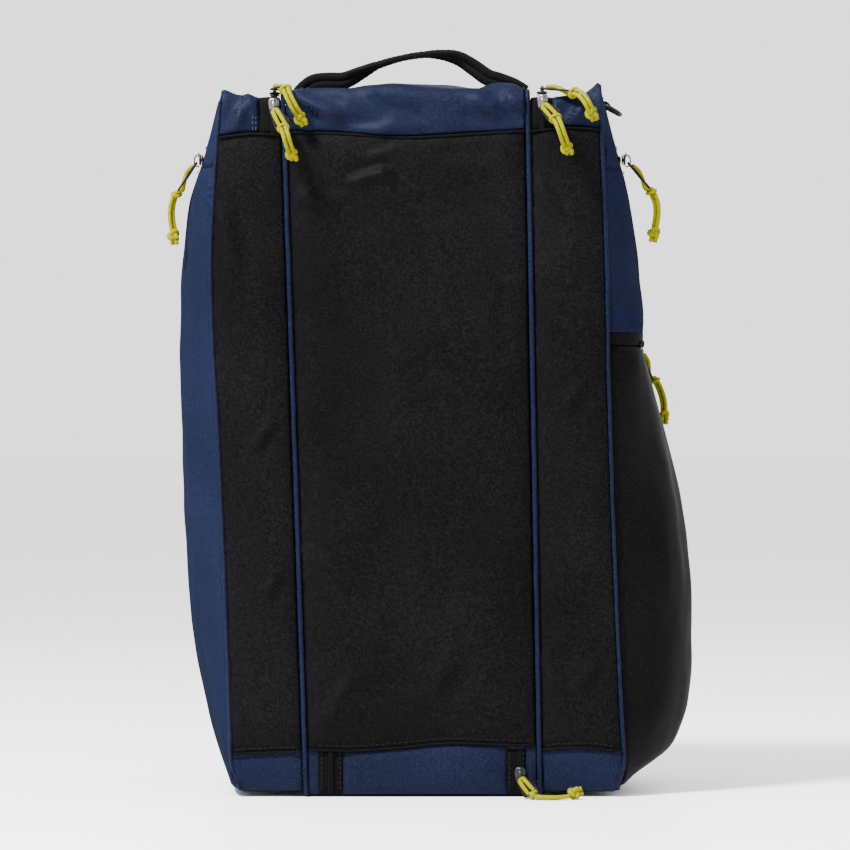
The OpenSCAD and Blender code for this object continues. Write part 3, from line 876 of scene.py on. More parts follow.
def top_patch(name, left, right, z_start, top, y_end, material, slot, seed=1, crown=2.0, rough=1.0, ear=None,
              replaced=(), y_start=None, thick=1.6, back_drop=0.0, folds=()):
    """Cloth that runs up the front band, round the top edge and back; ear(x) raises its outer corner."""
    start = z_start if callable(z_start) else (lambda u: z_start)
    width = right(top) - left(top)

    def point(u, v):
        total = top_length(start(u), top, y_end)
        first = 0.0 if y_start is None else top_length(start(u), top, y_start)
        distance = mix(first, total + back_drop, v)
        over = max(0.0, distance - total)
        y, z, out = over_top(min(distance, total), start(u), top)
        if over:
            a = min(over / 8, math.pi / 2)
            y, z, out = y_end + 8 * math.sin(a), top - 8 * (1 - math.cos(a)) - max(0, over - 4 * math.pi), (
                math.sin(a), math.cos(a))
        x = mix(left(z), right(z), u)
        side = min(u, 1 - u) * width
        puffed = 1 - math.exp(-side / 8)
        lift = -1.0 + (crown + 1.0) * puffed + rumple(x + y, z + y, seed, rough) * puffed
        lift += pucker(side, distance, seed + 2, 0.5)
        for fold in folds:
            lift -= TOP_FOLD_GAIN * crease(x, distance, *fold)
        lift = mix(-2.2, max(lift, -1.4), 1 - math.exp(-distance / 2.5))
        if ear:
            z += ear(x) * max(0.0, out[1]) * max(0.0, 1 - (y - Y_FRONT) / 90)
        return (x, y + out[0] * lift, z + out[1] * lift)

    nv = int((top_length(start(0.5), top, y_end) - (0 if y_start is None else y_start - Y_FRONT)) / 3.2)
    return cloth(name, point, max(5, int(width / 3)), max(6, nv), material, "bag", slot, replaced, thick)


def left_ear(x):
    return 6.6 * math.exp(-((x + 158) / 8) ** 2)


def right_ear(x):
    return 10.4 * math.exp(-((x - 142) / 8) ** 2)


top_patch("top_center_cloth", lambda z: left_pipe(z) + PIPE_GAP, lambda z: right_pipe(z) - PIPE_GAP,
          lambda u: CENTRE_TOP_LINE(u) - 1, TOP, Y_BACK - 8, NAVY, "navy_fabric", seed=23, crown=1.8,
          replaced=["top_band", "centre_shell"], back_drop=18,
          folds=(((-104, 26), (-80, 8), 5, 2.6), ((-96, 34), (-58, 24), 6, 2.4),
                 ((-70, 4), (-20, 16), 6, 2.0),
                 ((-40, 30), (6, 14), 7, 1.6), ((82, 8), (60, 24), 6, 2.6), ((70, 4), (34, 20), 6, 2.0),
                 ((84, 30), (48, 32), 6, 1.8), ((-60, 60), (40, 90), 14, 1.6),
                 ((50, 130), (-50, 160), 16, 1.6)))
top_patch("top_left_cloth", lambda z: left_edge(z) + 0.8, lambda z: TAPE_LEFT[0] - 0.2,
          lambda u: LEFT_TOP_LINE(0.64 * u) - 0.4, SIDE_TOP,
          LID_Y[0] - 0.4, NAVY, "navy_fabric", seed=29, crown=1.2, rough=0.7, ear=left_ear,
          folds=(((-158, 4), (-146, 30), 5, 1.8), ((-136, 10), (-146, 34), 4, 1.2)))
top_patch("top_right_cloth", lambda z: TAPE_RIGHT[1] + 0.2, lambda z: right_edge(z) - 0.8,
          lambda u: RIGHT_TOP_LINE(0.35 + 0.65 * u) - 0.4, SIDE_TOP,
          LID_Y[0] - 0.4, NAVY, "navy_fabric", seed=31, crown=1.2, rough=0.7, ear=right_ear,
          folds=(((112, 6), (128, 26), 5, 2.0), ((142, 6), (136, 34), 4, 1.4)))


COIL_WIDTH, COIL_HEIGHT, COIL_PITCH = 4.6, 1.1, 1.5


def coil(name, path, outward):
    """Ribbed zip coil along a path."""
    fine = smooth_path(path, COIL_PITCH / 3)

    def section(i, u, v):
        swell = 1.0 if i % 3 else 0.72
        outline = [(1, 0), (0.7, 0.7), (0, 1), (-0.7, 0.7), (-1, 0), (-0.7, -0.7), (0, -1), (0.7, -0.7)]
        return [u * (COIL_WIDTH / 2 * a * (0.9 + 0.1 * swell)) + v * (COIL_HEIGHT / 2 * b * swell)
                for a, b in outline]
    swept(name, fine, section, TAPE, "bag", "zip_tape", up=Vector(outward))


for label, tape, zip_x, start in (("left", TAPE_LEFT, LEFT_ZIP, 529.5),
                                  ("right", TAPE_RIGHT, RIGHT_ZIP, 532.5)):
    inner = (LID_EDGE_LEFT + 0.2, tape[1]) if label == "left" else (tape[0], LID_EDGE_RIGHT - 0.2)
    top_patch(f"top_{label}_tape_front", lambda z, t=tape: t[0], lambda z, t=tape: t[1], lambda u, s=start: s,
              SIDE_TOP, LID_Y[0], TAPE, "zip_tape", seed=37, crown=0.2, rough=0.25,
              replaced=["zip_tapes"], thick=1.2)
    top_patch(f"top_{label}_tape_back", lambda z, t=inner: t[0], lambda z, t=inner: t[1], lambda u,
              s=start: s,
              SIDE_TOP, LID_Y[1] + 10, TAPE, "zip_tape", seed=41, crown=0.2, rough=0.2, y_start=LID_Y[0],
              thick=1.2)
    profile = [over_top(d, start, SIDE_TOP) for d in
               [k * (top_length(start, SIDE_TOP, 120)) / 60 for k in range(61)]]
    coil(f"top_{label}_coil", [(zip_x, y + o[0] * 0.5, z + o[1] * 0.5) for y, z, o in profile],
         (0, -1, 0))

# Pale top-stitching beside the two zips, on the front of the band and back over the top
for label, x, lift in (("left_a", TAPE_LEFT[0] - 2.8, -0.1), ("left_b", TAPE_LEFT[0] - 5.4, 0.35),
                       ("right_a", TAPE_RIGHT[1] + 2.8, -0.1)):
    profile = [over_top(d, 533, SIDE_TOP) for d in
               [k * (top_length(533, SIDE_TOP, LID_Y[0] - 4)) / 30 for k in range(31)]]
    stitches(f"top_{label}_stitch", [(x, y + o[0] * lift, z + o[1] * lift) for y, z, o in profile],
             lambda p: (0, -1, 0) if p.y < Y_FRONT + 3 else (0, 0, 1), PALE_THREAD, "bag", "navy_fabric",
             length=2.6, gap=1.4, width=0.6)


def flat_patch(name, x0, x1, y0, y1, z, material, slot, body, seed, crown=1.2, rough=0.6, replaced=(),
               thick=1.8):
    """Nearly flat cloth facing up, between two x and two y lines."""
    def point(u, v):
        x, y = mix(x0, x1, u), mix(y0, y1, v)
        side = min(u, 1 - u) * abs(x1 - x0)
        end = min(v, 1 - v) * abs(y1 - y0)
        puffed = (1 - math.exp(-side / 6)) * (1 - math.exp(-end / 6))
        return (x, y, z + crown * puffed + rumple(x, y, seed, rough) * puffed + pucker(side, y, seed, 0.3))
    return cloth(name, point, max(4, int(abs(x1 - x0) / 3)), max(4, int(abs(y1 - y0) / 3)), material, body,
                 slot,
                 replaced, thick)


flat_patch("left_flap_cloth", -159.3, TAPE_LEFT[0], *LID_Y, SIDE_TOP - 0.2, NAVY, "navy_fabric", "left_flap",
           43,
           replaced=["left_lid"])
flat_patch("left_flap_tape", TAPE_LEFT[0], LID_EDGE_LEFT, *LID_Y, SIDE_TOP, TAPE, "zip_tape", "left_flap", 44,
           crown=0.1, rough=0.1, thick=1.4)
flat_patch("right_flap_cloth", TAPE_RIGHT[1], 145.4, *LID_Y, SIDE_TOP - 0.2, NAVY, "navy_fabric",
           "right_flap", 47,
           replaced=["right_lid"])
flat_patch("right_flap_tape", LID_EDGE_RIGHT, TAPE_RIGHT[1], *LID_Y, SIDE_TOP, TAPE, "zip_tape", "right_flap",
           48,
           crown=0.1, rough=0.1, thick=1.4)
flat_patch("left_top_end", -159.6, LID_EDGE_LEFT, LID_Y[1] + 0.4, Y_BACK, SIDE_TOP - 0.2, NAVY, "navy_fabric",
           "bag", 51,
           crown=0.4, rough=0.2)
flat_patch("right_top_end", LID_EDGE_RIGHT, 145.6, LID_Y[1] + 0.4, Y_BACK, SIDE_TOP - 0.2, NAVY,
           "navy_fabric", "bag",
           53, crown=0.4, rough=0.2)

# ------------------------------------------------------------------ bottom band

BOTTOM_TAPE_LEFT = (-80.8, -61.6)
BOTTOM_TAPE_RIGHT = (69.6, 84.8)


def band(name, left, right, low, high, seed, **more):
    return front_patch(name, left, right, low, high, NAVY, "navy_fabric", crown=more.pop("crown", 1.6),
                       seed=seed,
                       under=5.0, rough=0.6, **more)


def part_line(line, left, right, full_left, full_right):
    """The stretch of an edge line between two x places, as a function of the share across."""
    def at(u):
        return line((mix(left, right, u) - full_left) / (full_right - full_left)) + 1
    return at


centre_part = (left_pipe(36), right_pipe(36))
band("bottom_left_cloth", lambda z: left_edge(z) + 1.6, lambda z: left_pipe(z) - PIPE_GAP, SIDE_FLOOR - 1,
     lambda u: LEFT_LOW_LINE(u) + 1, 61, replaced=["bottom_band"])
band("bottom_narrow_left_cloth", lambda z: left_pipe(z) + PIPE_GAP, lambda z: BOTTOM_TAPE_LEFT[0], 0.4,
     part_line(CENTRE_LOW_LINE, -89, -81, *centre_part), 62, crown=0.8)
band("bottom_center_cloth", lambda z: BOTTOM_TAPE_LEFT[1], lambda z: BOTTOM_TAPE_RIGHT[0], 0.4,
     part_line(CENTRE_LOW_LINE, -61, 69, *centre_part), 63, crown=2.4)
band("bottom_narrow_right_cloth", lambda z: BOTTOM_TAPE_RIGHT[1], lambda z: right_pipe(z) - PIPE_GAP, 0.4,
     part_line(CENTRE_LOW_LINE, 85, 93, *centre_part), 64, crown=0.8)
band("bottom_right_cloth", lambda z: right_pipe(z) + PIPE_GAP, lambda z: right_edge(z) - 1.6, SIDE_FLOOR - 1,
     lambda u: RIGHT_LOW_LINE(u) + 1, 65)
for label, tape in (("left", BOTTOM_TAPE_LEFT), ("right", BOTTOM_TAPE_RIGHT)):
    front_patch(f"bottom_{label}_tape", lambda z, t=tape: t[0], lambda z, t=tape: t[1], 0.6, 37.5, TAPE,
                "zip_tape",
                crown=0.2, seed=66, under=4.0, rough=0.2)
    middle = sum(tape) / 2 + (3 if label == "right" else 0)
    coil(f"bottom_{label}_coil",
         [(middle, Y_FRONT - 0.7, 37), (middle, Y_FRONT - 0.7, 22), (middle, Y_FRONT - 0.6, 8),
                                  (middle, Y_FRONT + 0.8, 2.2)], (0, -1, 0))
    for edge in tape:
        stitches(f"bottom_{label}_stitch_{'in' if edge == tape[1] else 'out'}",
                 [(edge + (2.2 if edge == tape[0] else -2.2), Y_FRONT - 0.8, z) for z in (36, 28, 20, 12, 6)],
                 (0, -1, 0), DARK_THREAD, "bag", "zip_tape", length=2.2, gap=1.4, width=0.5)


def down_patch(name, x0, x1, z, seed):
    """Cloth facing down under a compartment."""
    def point(u, v):
        x, y = mix(x0, x1, u), mix(Y_BACK, Y_FRONT + 4, v)
        return (x, y, z + 0.5 * bump(u) * abs(drift((x, y, 0), 30, seed)))
    return cloth(name, point, max(6, int((x1 - x0) / 6)), 44, NAVY, "bag", "navy_fabric", (), 1.2)


down_patch("left_floor_cloth", left_edge(5), left_pipe(0) - 0.5, SIDE_FLOOR, 71)
down_patch("center_floor_cloth", left_pipe(0), right_pipe(0), 0.1, 72)
down_patch("right_floor_cloth", right_pipe(0) + 0.5, right_edge(5), SIDE_FLOOR, 73)

# ------------------------------------------------------------------ flanks

FLANK_Y = (-137.0, 128.5)
ACCESSORY_Y = (-136.5, 112.0)
MOUTH_LOW, MOUTH_HIGH = 504.0, 520.0
POCKET_MOUTH_LOW, POCKET_MOUTH_HIGH = 362.0, 372.0


def flank_x(edge, bulge, z, y, ends):
    """Outer surface of a flank: on the edge line at its two ends, bulged between, straighter by the zips."""
    s = (2 * y - ends[0] - ends[1]) / (ends[1] - ends[0])
    by_zip = math.exp(-((z - 512) / 34) ** 2)
    if edge is right_edge:
        by_zip += math.exp(-((z - 367) / 30) ** 2)
    shape = (1 - abs(s) ** (3.2 + 6 * by_zip)) * (1 - 0.10 * s * (1 - min(1.0, by_zip)))
    return edge(z) + (lookup(bulge, z) - edge(z)) * max(0.0, min(1.04, shape))


def flank_patch(name, side, bulge, low, high, ends, material, slot, seed, crown=2.0, folds=2.2, replaced=(),
                turn_in=None, cell=5.0):
    """Cloth on a flank, side -1 or 1; turn_in is the x and z where its upper end is folded over to."""
    edge = left_edge if side < 0 else right_edge
    low_at = low if callable(low) else (lambda y: low)
    high_at = high if callable(high) else (lambda y: high)

    def point(u, v):
        y = mix(ends[1], ends[0], u) if side < 0 else mix(ends[0], ends[1], u)
        bottom, top = low_at(y), high_at(y)
        z = mix(bottom, top, v)
        x = flank_x(edge, bulge, z, y, ends)
        near = min(u, 1 - u) * (ends[1] - ends[0])
        end = min(v, 1 - v) * (top - bottom)
        inside = (1 - math.exp(-near / 16)) * (1 - math.exp(-(end + 1) / 8))
        soft = drift((y, 0, z * 0.22), 34, seed) + 0.5 * drift((y, 0, z * 0.5), 15, seed + 3)
        out = (crown * inside * 0.4 + folds * soft * inside + pucker(near, z, seed + 5)
               + pucker(end, y, seed + 6, 0.6))
        x += side * out
        if turn_in and v > 0.86:
            t = (v - 0.86) / 0.14
            x = mix(x, turn_in[0], 1 - math.cos(t * math.pi / 2))
            z = mix(mix(bottom, top, 0.86), turn_in[1], math.sin(t * math.pi / 2))
        return (x, y, z)

    nv = max(6, int((high_at(0) - low_at(0)) / cell))
    return cloth(name, point, int((ends[1] - ends[0]) / cell), nv, material, "bag", slot, replaced)


flank_patch("left_flank_cloth", -1, LEFT_BULGE, 6, MOUTH_LOW, FLANK_Y, NAVY_SIDE_PAINTED_LIGHT, "navy_fabric", 81,
            replaced=["left_pocket"])


def above_mouth(y):
    """Lower edge of the cloth above a flank zip: down to the pocket beyond the ends of the zip."""
    past = max(0.0, min(1.0, (abs(y + 4) - 108) / 6))
    return mix(MOUTH_HIGH, MOUTH_LOW, past)


flank_patch("left_flank_top", -1, LEFT_BULGE, above_mouth, 560.8, FLANK_Y, NAVY_SIDE_PAINTED_LIGHT, "navy_fabric", 82,
            folds=0.8,
            replaced=["left_shell"], turn_in=(-159.7, 561.2), cell=4.0)
flank_patch("left_flank_tape", -1, LEFT_BULGE, MOUTH_LOW + 0.3, MOUTH_HIGH - 0.3, FLANK_Y, TAPE, "zip_tape",
            83,
            crown=-1.0, folds=0.1, cell=4.0)
flank_patch("right_flank_cloth", 1, RIGHT_BULGE, POCKET_MOUTH_HIGH, MOUTH_LOW, FLANK_Y, NAVY_SIDE_PAINTED_LIGHT,
            "navy_fabric", 84,
            replaced=["right_pocket"])
flank_patch("right_flank_top", 1, RIGHT_BULGE, above_mouth, 560.8, FLANK_Y, NAVY_SIDE_PAINTED_LIGHT, "navy_fabric", 85,
            folds=0.8,
            replaced=["right_shell"], turn_in=(145.7, 561.2), cell=4.0)
flank_patch("right_flank_tape", 1, RIGHT_BULGE, MOUTH_LOW + 0.3, MOUTH_HIGH - 0.3, FLANK_Y, TAPE, "zip_tape",
            86,
            crown=-1.0, folds=0.1, cell=4.0)
flank_patch("accessory_tape", 1, RIGHT_BULGE, POCKET_MOUTH_LOW, POCKET_MOUTH_HIGH - 0.3, FLANK_Y, TAPE,
            "zip_tape",
            87, crown=0.2, folds=0.2, cell=4.0)
flank_patch("accessory_cloth", 1, ACCESSORY_BULGE, 9, POCKET_MOUTH_LOW - 0.5, ACCESSORY_Y, BLACK,
            "black_fabric", 88,
            folds=2.6, replaced=["accessory_pocket"])


def side_strip(name, x_at, y0, y1, low, high, seed):
    """Flat navy cloth of a right flank between two y lines."""
    def point(u, v):
        y, z = mix(y0, y1, u), mix(low, high, v)
        return (x_at(z) + 0.6 * bump(u) + 0.5 * drift((y, 0, z), 30, seed), y, z)
    return cloth(name, point, max(3, int((y1 - y0) / 4)), int((high - low) / 8), NAVY, "bag", "navy_fabric",
                 (), 1.4)


side_strip("right_flank_back_strip", lambda z: right_edge(z) - 1, ACCESSORY_Y[1] - 6, FLANK_Y[1] + 1, 6, 363,
           91)

ZIP_MOUTH = (-112, 104)
for label, side, bulge, z, out_by in (("left_flank", -1, LEFT_BULGE, 512.0, 0.5),
                                      ("right_flank", 1, RIGHT_BULGE, 512.0, 0.5),
                                      ("accessory", 1, RIGHT_BULGE, 363.5, 0.9)):
    edge = left_edge if side < 0 else right_edge
    run = steps(*ZIP_MOUTH, 40)
    coil(label + "_coil", [(flank_x(edge, bulge, z, y, FLANK_Y) + side * out_by, y, z) for y in run],
         (side, 0, 0))
    for offset, where in ((-6.6, "low"), (6.6, "high")):
        if label == "accessory":
            offset = -4.0 if where == "low" else 12.0
        stitches(f"{label}_{where}_stitch",
                 [(flank_x(edge, ACCESSORY_BULGE if label == "accessory" and where == "low" else bulge,
                           z + offset * 1.5, y, FLANK_Y) + side * 1.2, y, z + offset * 1.5) for y in run],
                 (side, 0, 0), DARK_THREAD if label == "accessory" and where == "low" else THREAD, "bag",
                 "navy_fabric")

# ------------------------------------------------------------------ pipings


def corded_edge(name, line, radius, seed, replaced=()):
    """Corded piping: a round welt that wanders slightly, with a fine seam pull along it."""
    path = smooth_path(line, 3.0)
    for i, p in enumerate(path):
        p.x += 0.3 * drift((p.y, 0, p.z), 16, seed)

    def section(i, u, v):
        r = radius * (1 + 0.05 * drift((i * 3.0, 0, 0), 5, seed + 2))
        return [u * r * math.cos(2 * math.pi * k / 14) + v * r * math.sin(2 * math.pi * k / 14)
                for k in range(14)]
    swept(name, path, section, NAVY, "bag", "navy_fabric", replaced)


def over_line(x_at, low, top, y_pipe, y_end, radius=7.0):
    """Line up the front corner, round the top edge and back to y_end."""
    line = [(x_at(z), y_pipe, z) for z in steps(low, top - radius, 16)]
    for k in range(1, 5):
        a = math.pi / 2 * k / 4
        line.append((x_at(top), y_pipe + radius * (1 - math.cos(a)), top - radius + radius * math.sin(a)))
    return line + [(x_at(top), mix(y_pipe + radius, y_end, k / 8), top) for k in range(1, 9)]


corded_edge("piping_left", over_line(left_pipe, 1.5, TOP - 1, Y_FRONT + 0.3, Y_BACK - 4), 2.0,
            replaced=["pipings"],
            seed=101)
corded_edge("piping_right", over_line(right_pipe, 1.5, TOP - 1, Y_FRONT + 0.3, Y_BACK - 4), 2.0, seed=102)
corded_edge("piping_left_flank", [(left_edge(z) + 0.6, Y_FRONT + 1.6, z) for z in steps(5.5, 557, 24)],
            1.4, seed=103)
corded_edge("piping_right_flank", [(right_edge(z) - 0.6, Y_FRONT + 1.6, z) for z in steps(5.5, 560, 24)],
            1.6, seed=104)
for label, x_at, seed in (("left", left_edge, 105), ("right", right_edge, 106)):
    corded_edge(f"piping_{label}_back", [(x_at(z), Y_BACK - 0.6, z) for z in steps(5.5, 561, 24)],
                1.7, seed=seed)

# ------------------------------------------------------------------ back of the bag


def back_patch(name, left, right, low, high, y, material, slot, body, seed, crown=2.0, rough=1.0, replaced=(),
               thick=1.6, cell=6.0):
    """Cloth on the back, facing +Y."""
    def point(u, v):
        z = mix(low, high, v)
        x = mix(right(z), left(z), u)
        side = min(u, 1 - u) * (right(z) - left(z))
        end = min(v, 1 - v) * (high - low)
        puffed = (1 - math.exp(-side / 9)) * (1 - math.exp(-end / 9))
        return (x, y + crown * puffed + rumple(x, z, seed, rough) * puffed + pucker(side, z, seed + 1, 0.5),
                z)
    width = right((low + high) / 2) - left((low + high) / 2)
    return cloth(name, point, max(5, int(width / cell)), max(6, int((high - low) / cell)), material, body,
                 slot,
                 replaced, thick)


back_patch("left_back_cloth", lambda z: left_edge(z) + 0.5, lambda z: left_pipe(z) + 2, 5.5, 560.5,
           Y_BACK - 0.8, NAVY,
           "navy_fabric", "bag", 111)
back_patch("right_back_cloth", lambda z: right_pipe(z) - 2, lambda z: right_edge(z) - 0.5, 5.5, 560.5,
           Y_BACK - 0.8,
           NAVY, "navy_fabric", "bag", 112)
DOOR_Z = (DOOR_LOW.z, DOOR_HIGH.z)
DOOR_Y = DOOR_HIGH.y - 0.6


def door_left(z):
    return left_pipe(z) + 1.5


def door_right(z):
    return right_pipe(z) - 1.5


back_patch("door_cloth", door_left, door_right, *DOOR_Z, DOOR_Y - 1.2, BLACK, "black_fabric", "back_door",
           113,
           crown=0.9, rough=0.5, replaced=["back_lid"], thick=0.8)
back_patch("door_lining", lambda z: door_left(z) + 1, lambda z: door_right(z) - 1, DOOR_Z[0] + 1,
           DOOR_Z[1] - 1,
           DOOR_LOW.y + 0.3, LINING, "black_fabric", "back_door", 114, crown=0.1, rough=0.1, thick=0.6)


def door_outline(inset, y):
    """Closed line round the back door with rounded corners."""
    corner = 12
    low, high = DOOR_Z[0] + inset, DOOR_Z[1] - inset
    line = []
    for x_at, sign, z, start in ((door_right, -1, low, 270), (door_right, -1, high, 0),
                                 (door_left, 1, high, 90),
                                 (door_left, 1, low, 180)):
        centre_z = z + corner if z == low else z - corner
        for k in range(5):
            a = math.radians(start + 90 * k / 4)
            line.append((x_at(centre_z) + sign * (inset + corner) + corner * math.cos(a), y,
                         centre_z + corner * math.sin(a)))
    return line


door_rim = smooth_path(door_outline(2.0, DOOR_Y), 4.0, closed=True)
swept("door_piping", door_rim, round_section(2.0), NAVY, "back_door", "navy_fabric", closed=True)
door_zip = smooth_path(door_outline(8.0, DOOR_Y + 0.2), 3.0, closed=True)
verts, faces = sweep(door_zip, lambda i, u, v: [u * 3.0 * a + v * 0.5 * b * (1 if i % 2 else 0.6) for a, b in
                                                ((1, 0), (0.7, 1), (-0.7, 1), (-1, 0), (-0.7, -1),
                                                 (0.7, -1))],
                     closed=True, up=Vector((0, 1, 0)))
piece("door_zip", verts, faces, TAPE, "back_door", "zip_tape")

PAD_WIDTH = 66.0
PAD_Z = (PADS_LOW.z, PADS_HIGH.z)
PAD_Y = (PADS_LOW.y, PADS_HIGH.y)
STRAP_X = (-52.0, 38.0)
STRAP_WIDTH = 58.0
STRAP_THICK = 13.0
STRAP_TAPER = 40
CHANNEL = 56.0
strap_base = PADS_LOW.y
STRAP_LINE = [(strap_base + dy, z) for dy,
              z in ((6.8, 530), (12, 516), (30, 490), (42, 450), (48, 400), (48, 340),
                                                 (44, 290), (37, 250), (31, 225))]


def rounded_half_width(z, low, high, half, corner):
    end = min(z - low, high - z)
    if end >= corner:
        return half
    return half - corner + math.sqrt(max(0.0, corner**2 - (corner - end) ** 2))


def back_pad(label, x_middle, seed):
    """Spacer-mesh pad: crowned between its bound edge and its sewn channels."""
    low, high = PAD_Z

    def point(u, v):
        z = mix(low, high, v)
        half = max(2.0, rounded_half_width(z, low, high, PAD_WIDTH / 2, 16))
        x = x_middle + mix(half, -half, u)
        side = min(u, 1 - u) * 2 * half
        end = min(v, 1 - v) * (high - low)
        nearest = abs((z - low) % CHANNEL - CHANNEL / 2)
        in_channel = CHANNEL / 2 < z - low < high - low - 20
        channel = math.exp(-((CHANNEL / 2 - nearest) / 3.2) ** 2) if in_channel else 0.0
        puffed = (1 - math.exp(-side / 7)) * (1 - math.exp(-end / 7))
        y = PAD_Y[0] + 2.5 + (PAD_Y[1] - PAD_Y[0] - 3.0) * puffed * (1 - 0.5 * channel)
        return (x, y + 0.5 * puffed * drift((x, 0, z), 18, seed), z)
    pad = cloth(f"back_pad_{label}", point, 30, 150, MESH, "back_door", "mesh_pad", ["back_pads"], 2.6)
    rim = []
    for k in range(64):
        a = 2 * math.pi * k / 64
        c, s = math.cos(a), math.sin(a)
        x = x_middle + (PAD_WIDTH / 2 - 16) * (1 if c > 0 else -1) + 16 * c
        z = (high - 16 if s > 0 else low + 16) + 16 * s
        rim.append((x, PAD_Y[0] + 2.6, z))
    line = smooth_path(rim, 3.0, closed=True)
    swept(f"back_pad_{label}_binding", line, round_section(2.3, 10), WEBBING, "back_door", "webbing",
          closed=True)
    rows = [(low + CHANNEL * k) for k in range(1, int((high - low) / CHANNEL))]
    for n, z in enumerate(rows):
        stitches(f"back_pad_{label}_channel_{n}",
                 [(x_middle + mix(-PAD_WIDTH / 2 + 4, PAD_WIDTH / 2 - 4, t / 8), PAD_Y[0] + 2.5
                   + (PAD_Y[1] - PAD_Y[0] - 3.0) * 0.5 * min(1.0, 0.55 + 4 * min(t / 8, 1 - t / 8)),
                   z) for t in range(9)],
                 (0, 1, 0), DARK_THREAD, "back_door", "mesh_pad", length=3.2, gap=1.6, width=0.7)



def shoulder_strap(x_middle, node, seed):
    """Padded strap: crowned on both sides with a bound edge."""
    path = smooth_path([(x_middle, y, z) for y, z in STRAP_LINE], 5.0)
    lengths = [0.0]
    for i in range(1, len(path)):
        lengths.append(lengths[-1] + (path[i] - path[i - 1]).length)
    total = lengths[-1]
    around = 48

    def narrowed(run):
        """Share of the full width: the strap tapers over its last stretch."""
        return 1.0 if run < total - STRAP_TAPER else mix(1.0, 0.62, (run - total + STRAP_TAPER) / STRAP_TAPER)

    def section(i, u, v):
        run = lengths[i]
        end = min(run, total - run)
        half = STRAP_WIDTH / 2 * narrowed(run)
        thick = STRAP_THICK / 2 * (0.45 + 0.55 * (1 - math.exp(-end / 7)))
        ring = []
        for k in range(around):
            a = 2 * math.pi * k / around
            c, s = math.cos(a), math.sin(a)
            across = half * math.copysign(abs(c) ** 0.45, c)
            crown = math.copysign(abs(s) ** 0.75, s) * thick
            crown *= 1 - 0.28 * math.exp(-((abs(across) - half * 0.80) / 2.4) ** 2)
            crown += 0.35 * drift((across, run, seed), 16, seed)
            ring.append(u * across + v * crown)
        return ring
    strap = swept(node + "_padding", path, section, BLACK, "back_door", "black_fabric", [node],
                  up=Vector((0, -1, 0.01)))
    for side, end_name in ((-1, "in"), (1, "out")):
        line = [path[i] + Vector((side * (STRAP_WIDTH / 2 * narrowed(lengths[i]) - 0.3), 0, 0))
                for i in range(2, len(path) - 1, 2)]
        swept(f"{node}_binding_{end_name}", smooth_path(line, 4.0), round_section(2.1, 10), WEBBING,
              "back_door",
              "webbing")


RIB = 0.12  # share by which every other rib of webbing stands out


def flat_band(name, line, width, thick, x_middle, material, body, slot, replaced=()):
    """Webbing along a line of (y, z), with a finely ribbed face."""
    path = smooth_path([(x_middle, y, z) for y, z in line], 1.2)

    def section(i, u, v):
        t = thick * (1 + RIB * (1 if i % 2 else -1))
        w = width / 2 * (1 + 0.006 * math.sin(i * 0.7))
        return [u * w * a + v * t / 2 * b for a,
                b in ((1, -0.5), (1, 0.5), (0.94, 1), (0.3, 1.05), (-0.3, 1.05),
                                                       (-0.94, 1), (-1, 0.5), (-1, -0.5), (-0.94, -1),
                      (0.94, -1))]
    swept(name, path, section, material, body, slot, replaced, up=Vector((0, -1, 0.01)))


LOCK_Y = strap_base + 27.0
LOCK_Z = 200.0
WEB_WIDTH = 25.0
WEB_LINE = ((LOCK_Y + 0.3, LOCK_Z - 6.5), (LOCK_Y - 0.6, LOCK_Z - 14), (strap_base + 20, 150),
            (strap_base + 8, 100),
            (strap_base + 1.4, 74), (strap_base + 1.4, 58))
TAIL_LINE = ((LOCK_Y + 5.4, LOCK_Z + 5), (LOCK_Y + 5.6, LOCK_Z - 12), (LOCK_Y + 5.4, 150), (LOCK_Y + 5.4, 97))


def ladder_lock(label, x_middle):
    """Moulded lock: rounded frame with three bars, the middle one toothed."""
    parts = []
    for x in (-15, 15):
        parts.append(sweep([Vector((x_middle + x, LOCK_Y, LOCK_Z - 13)),
                            Vector((x_middle + x, LOCK_Y, LOCK_Z + 15))],
                           strip_section(7.0, 4.0), up=Vector((0, 1, 0))))
    for z, depth in ((LOCK_Z - 11.4, 6.5), (LOCK_Z + 0.8, 5.0), (LOCK_Z + 13.2, 7.5)):
        parts.append(sweep([Vector((x_middle - 15, LOCK_Y, z)), Vector((x_middle + 15, LOCK_Y, z))],
                           strip_section(depth, 3.6), up=Vector((0, 0, 1))))
    for k in range(9):
        x = x_middle - 11 + 22 * k / 8
        parts.append(sweep([Vector((x, LOCK_Y + 2.4, LOCK_Z + 0.8)), Vector((x, LOCK_Y + 3.3, LOCK_Z + 0.8))],
                           round_section(0.8, 8)))
    verts, faces = join(parts)
    return piece(f"ladder_lock_{label}", verts, faces, PLASTIC, "back_door", "black_plastic",
                 ["ladder_locks"])


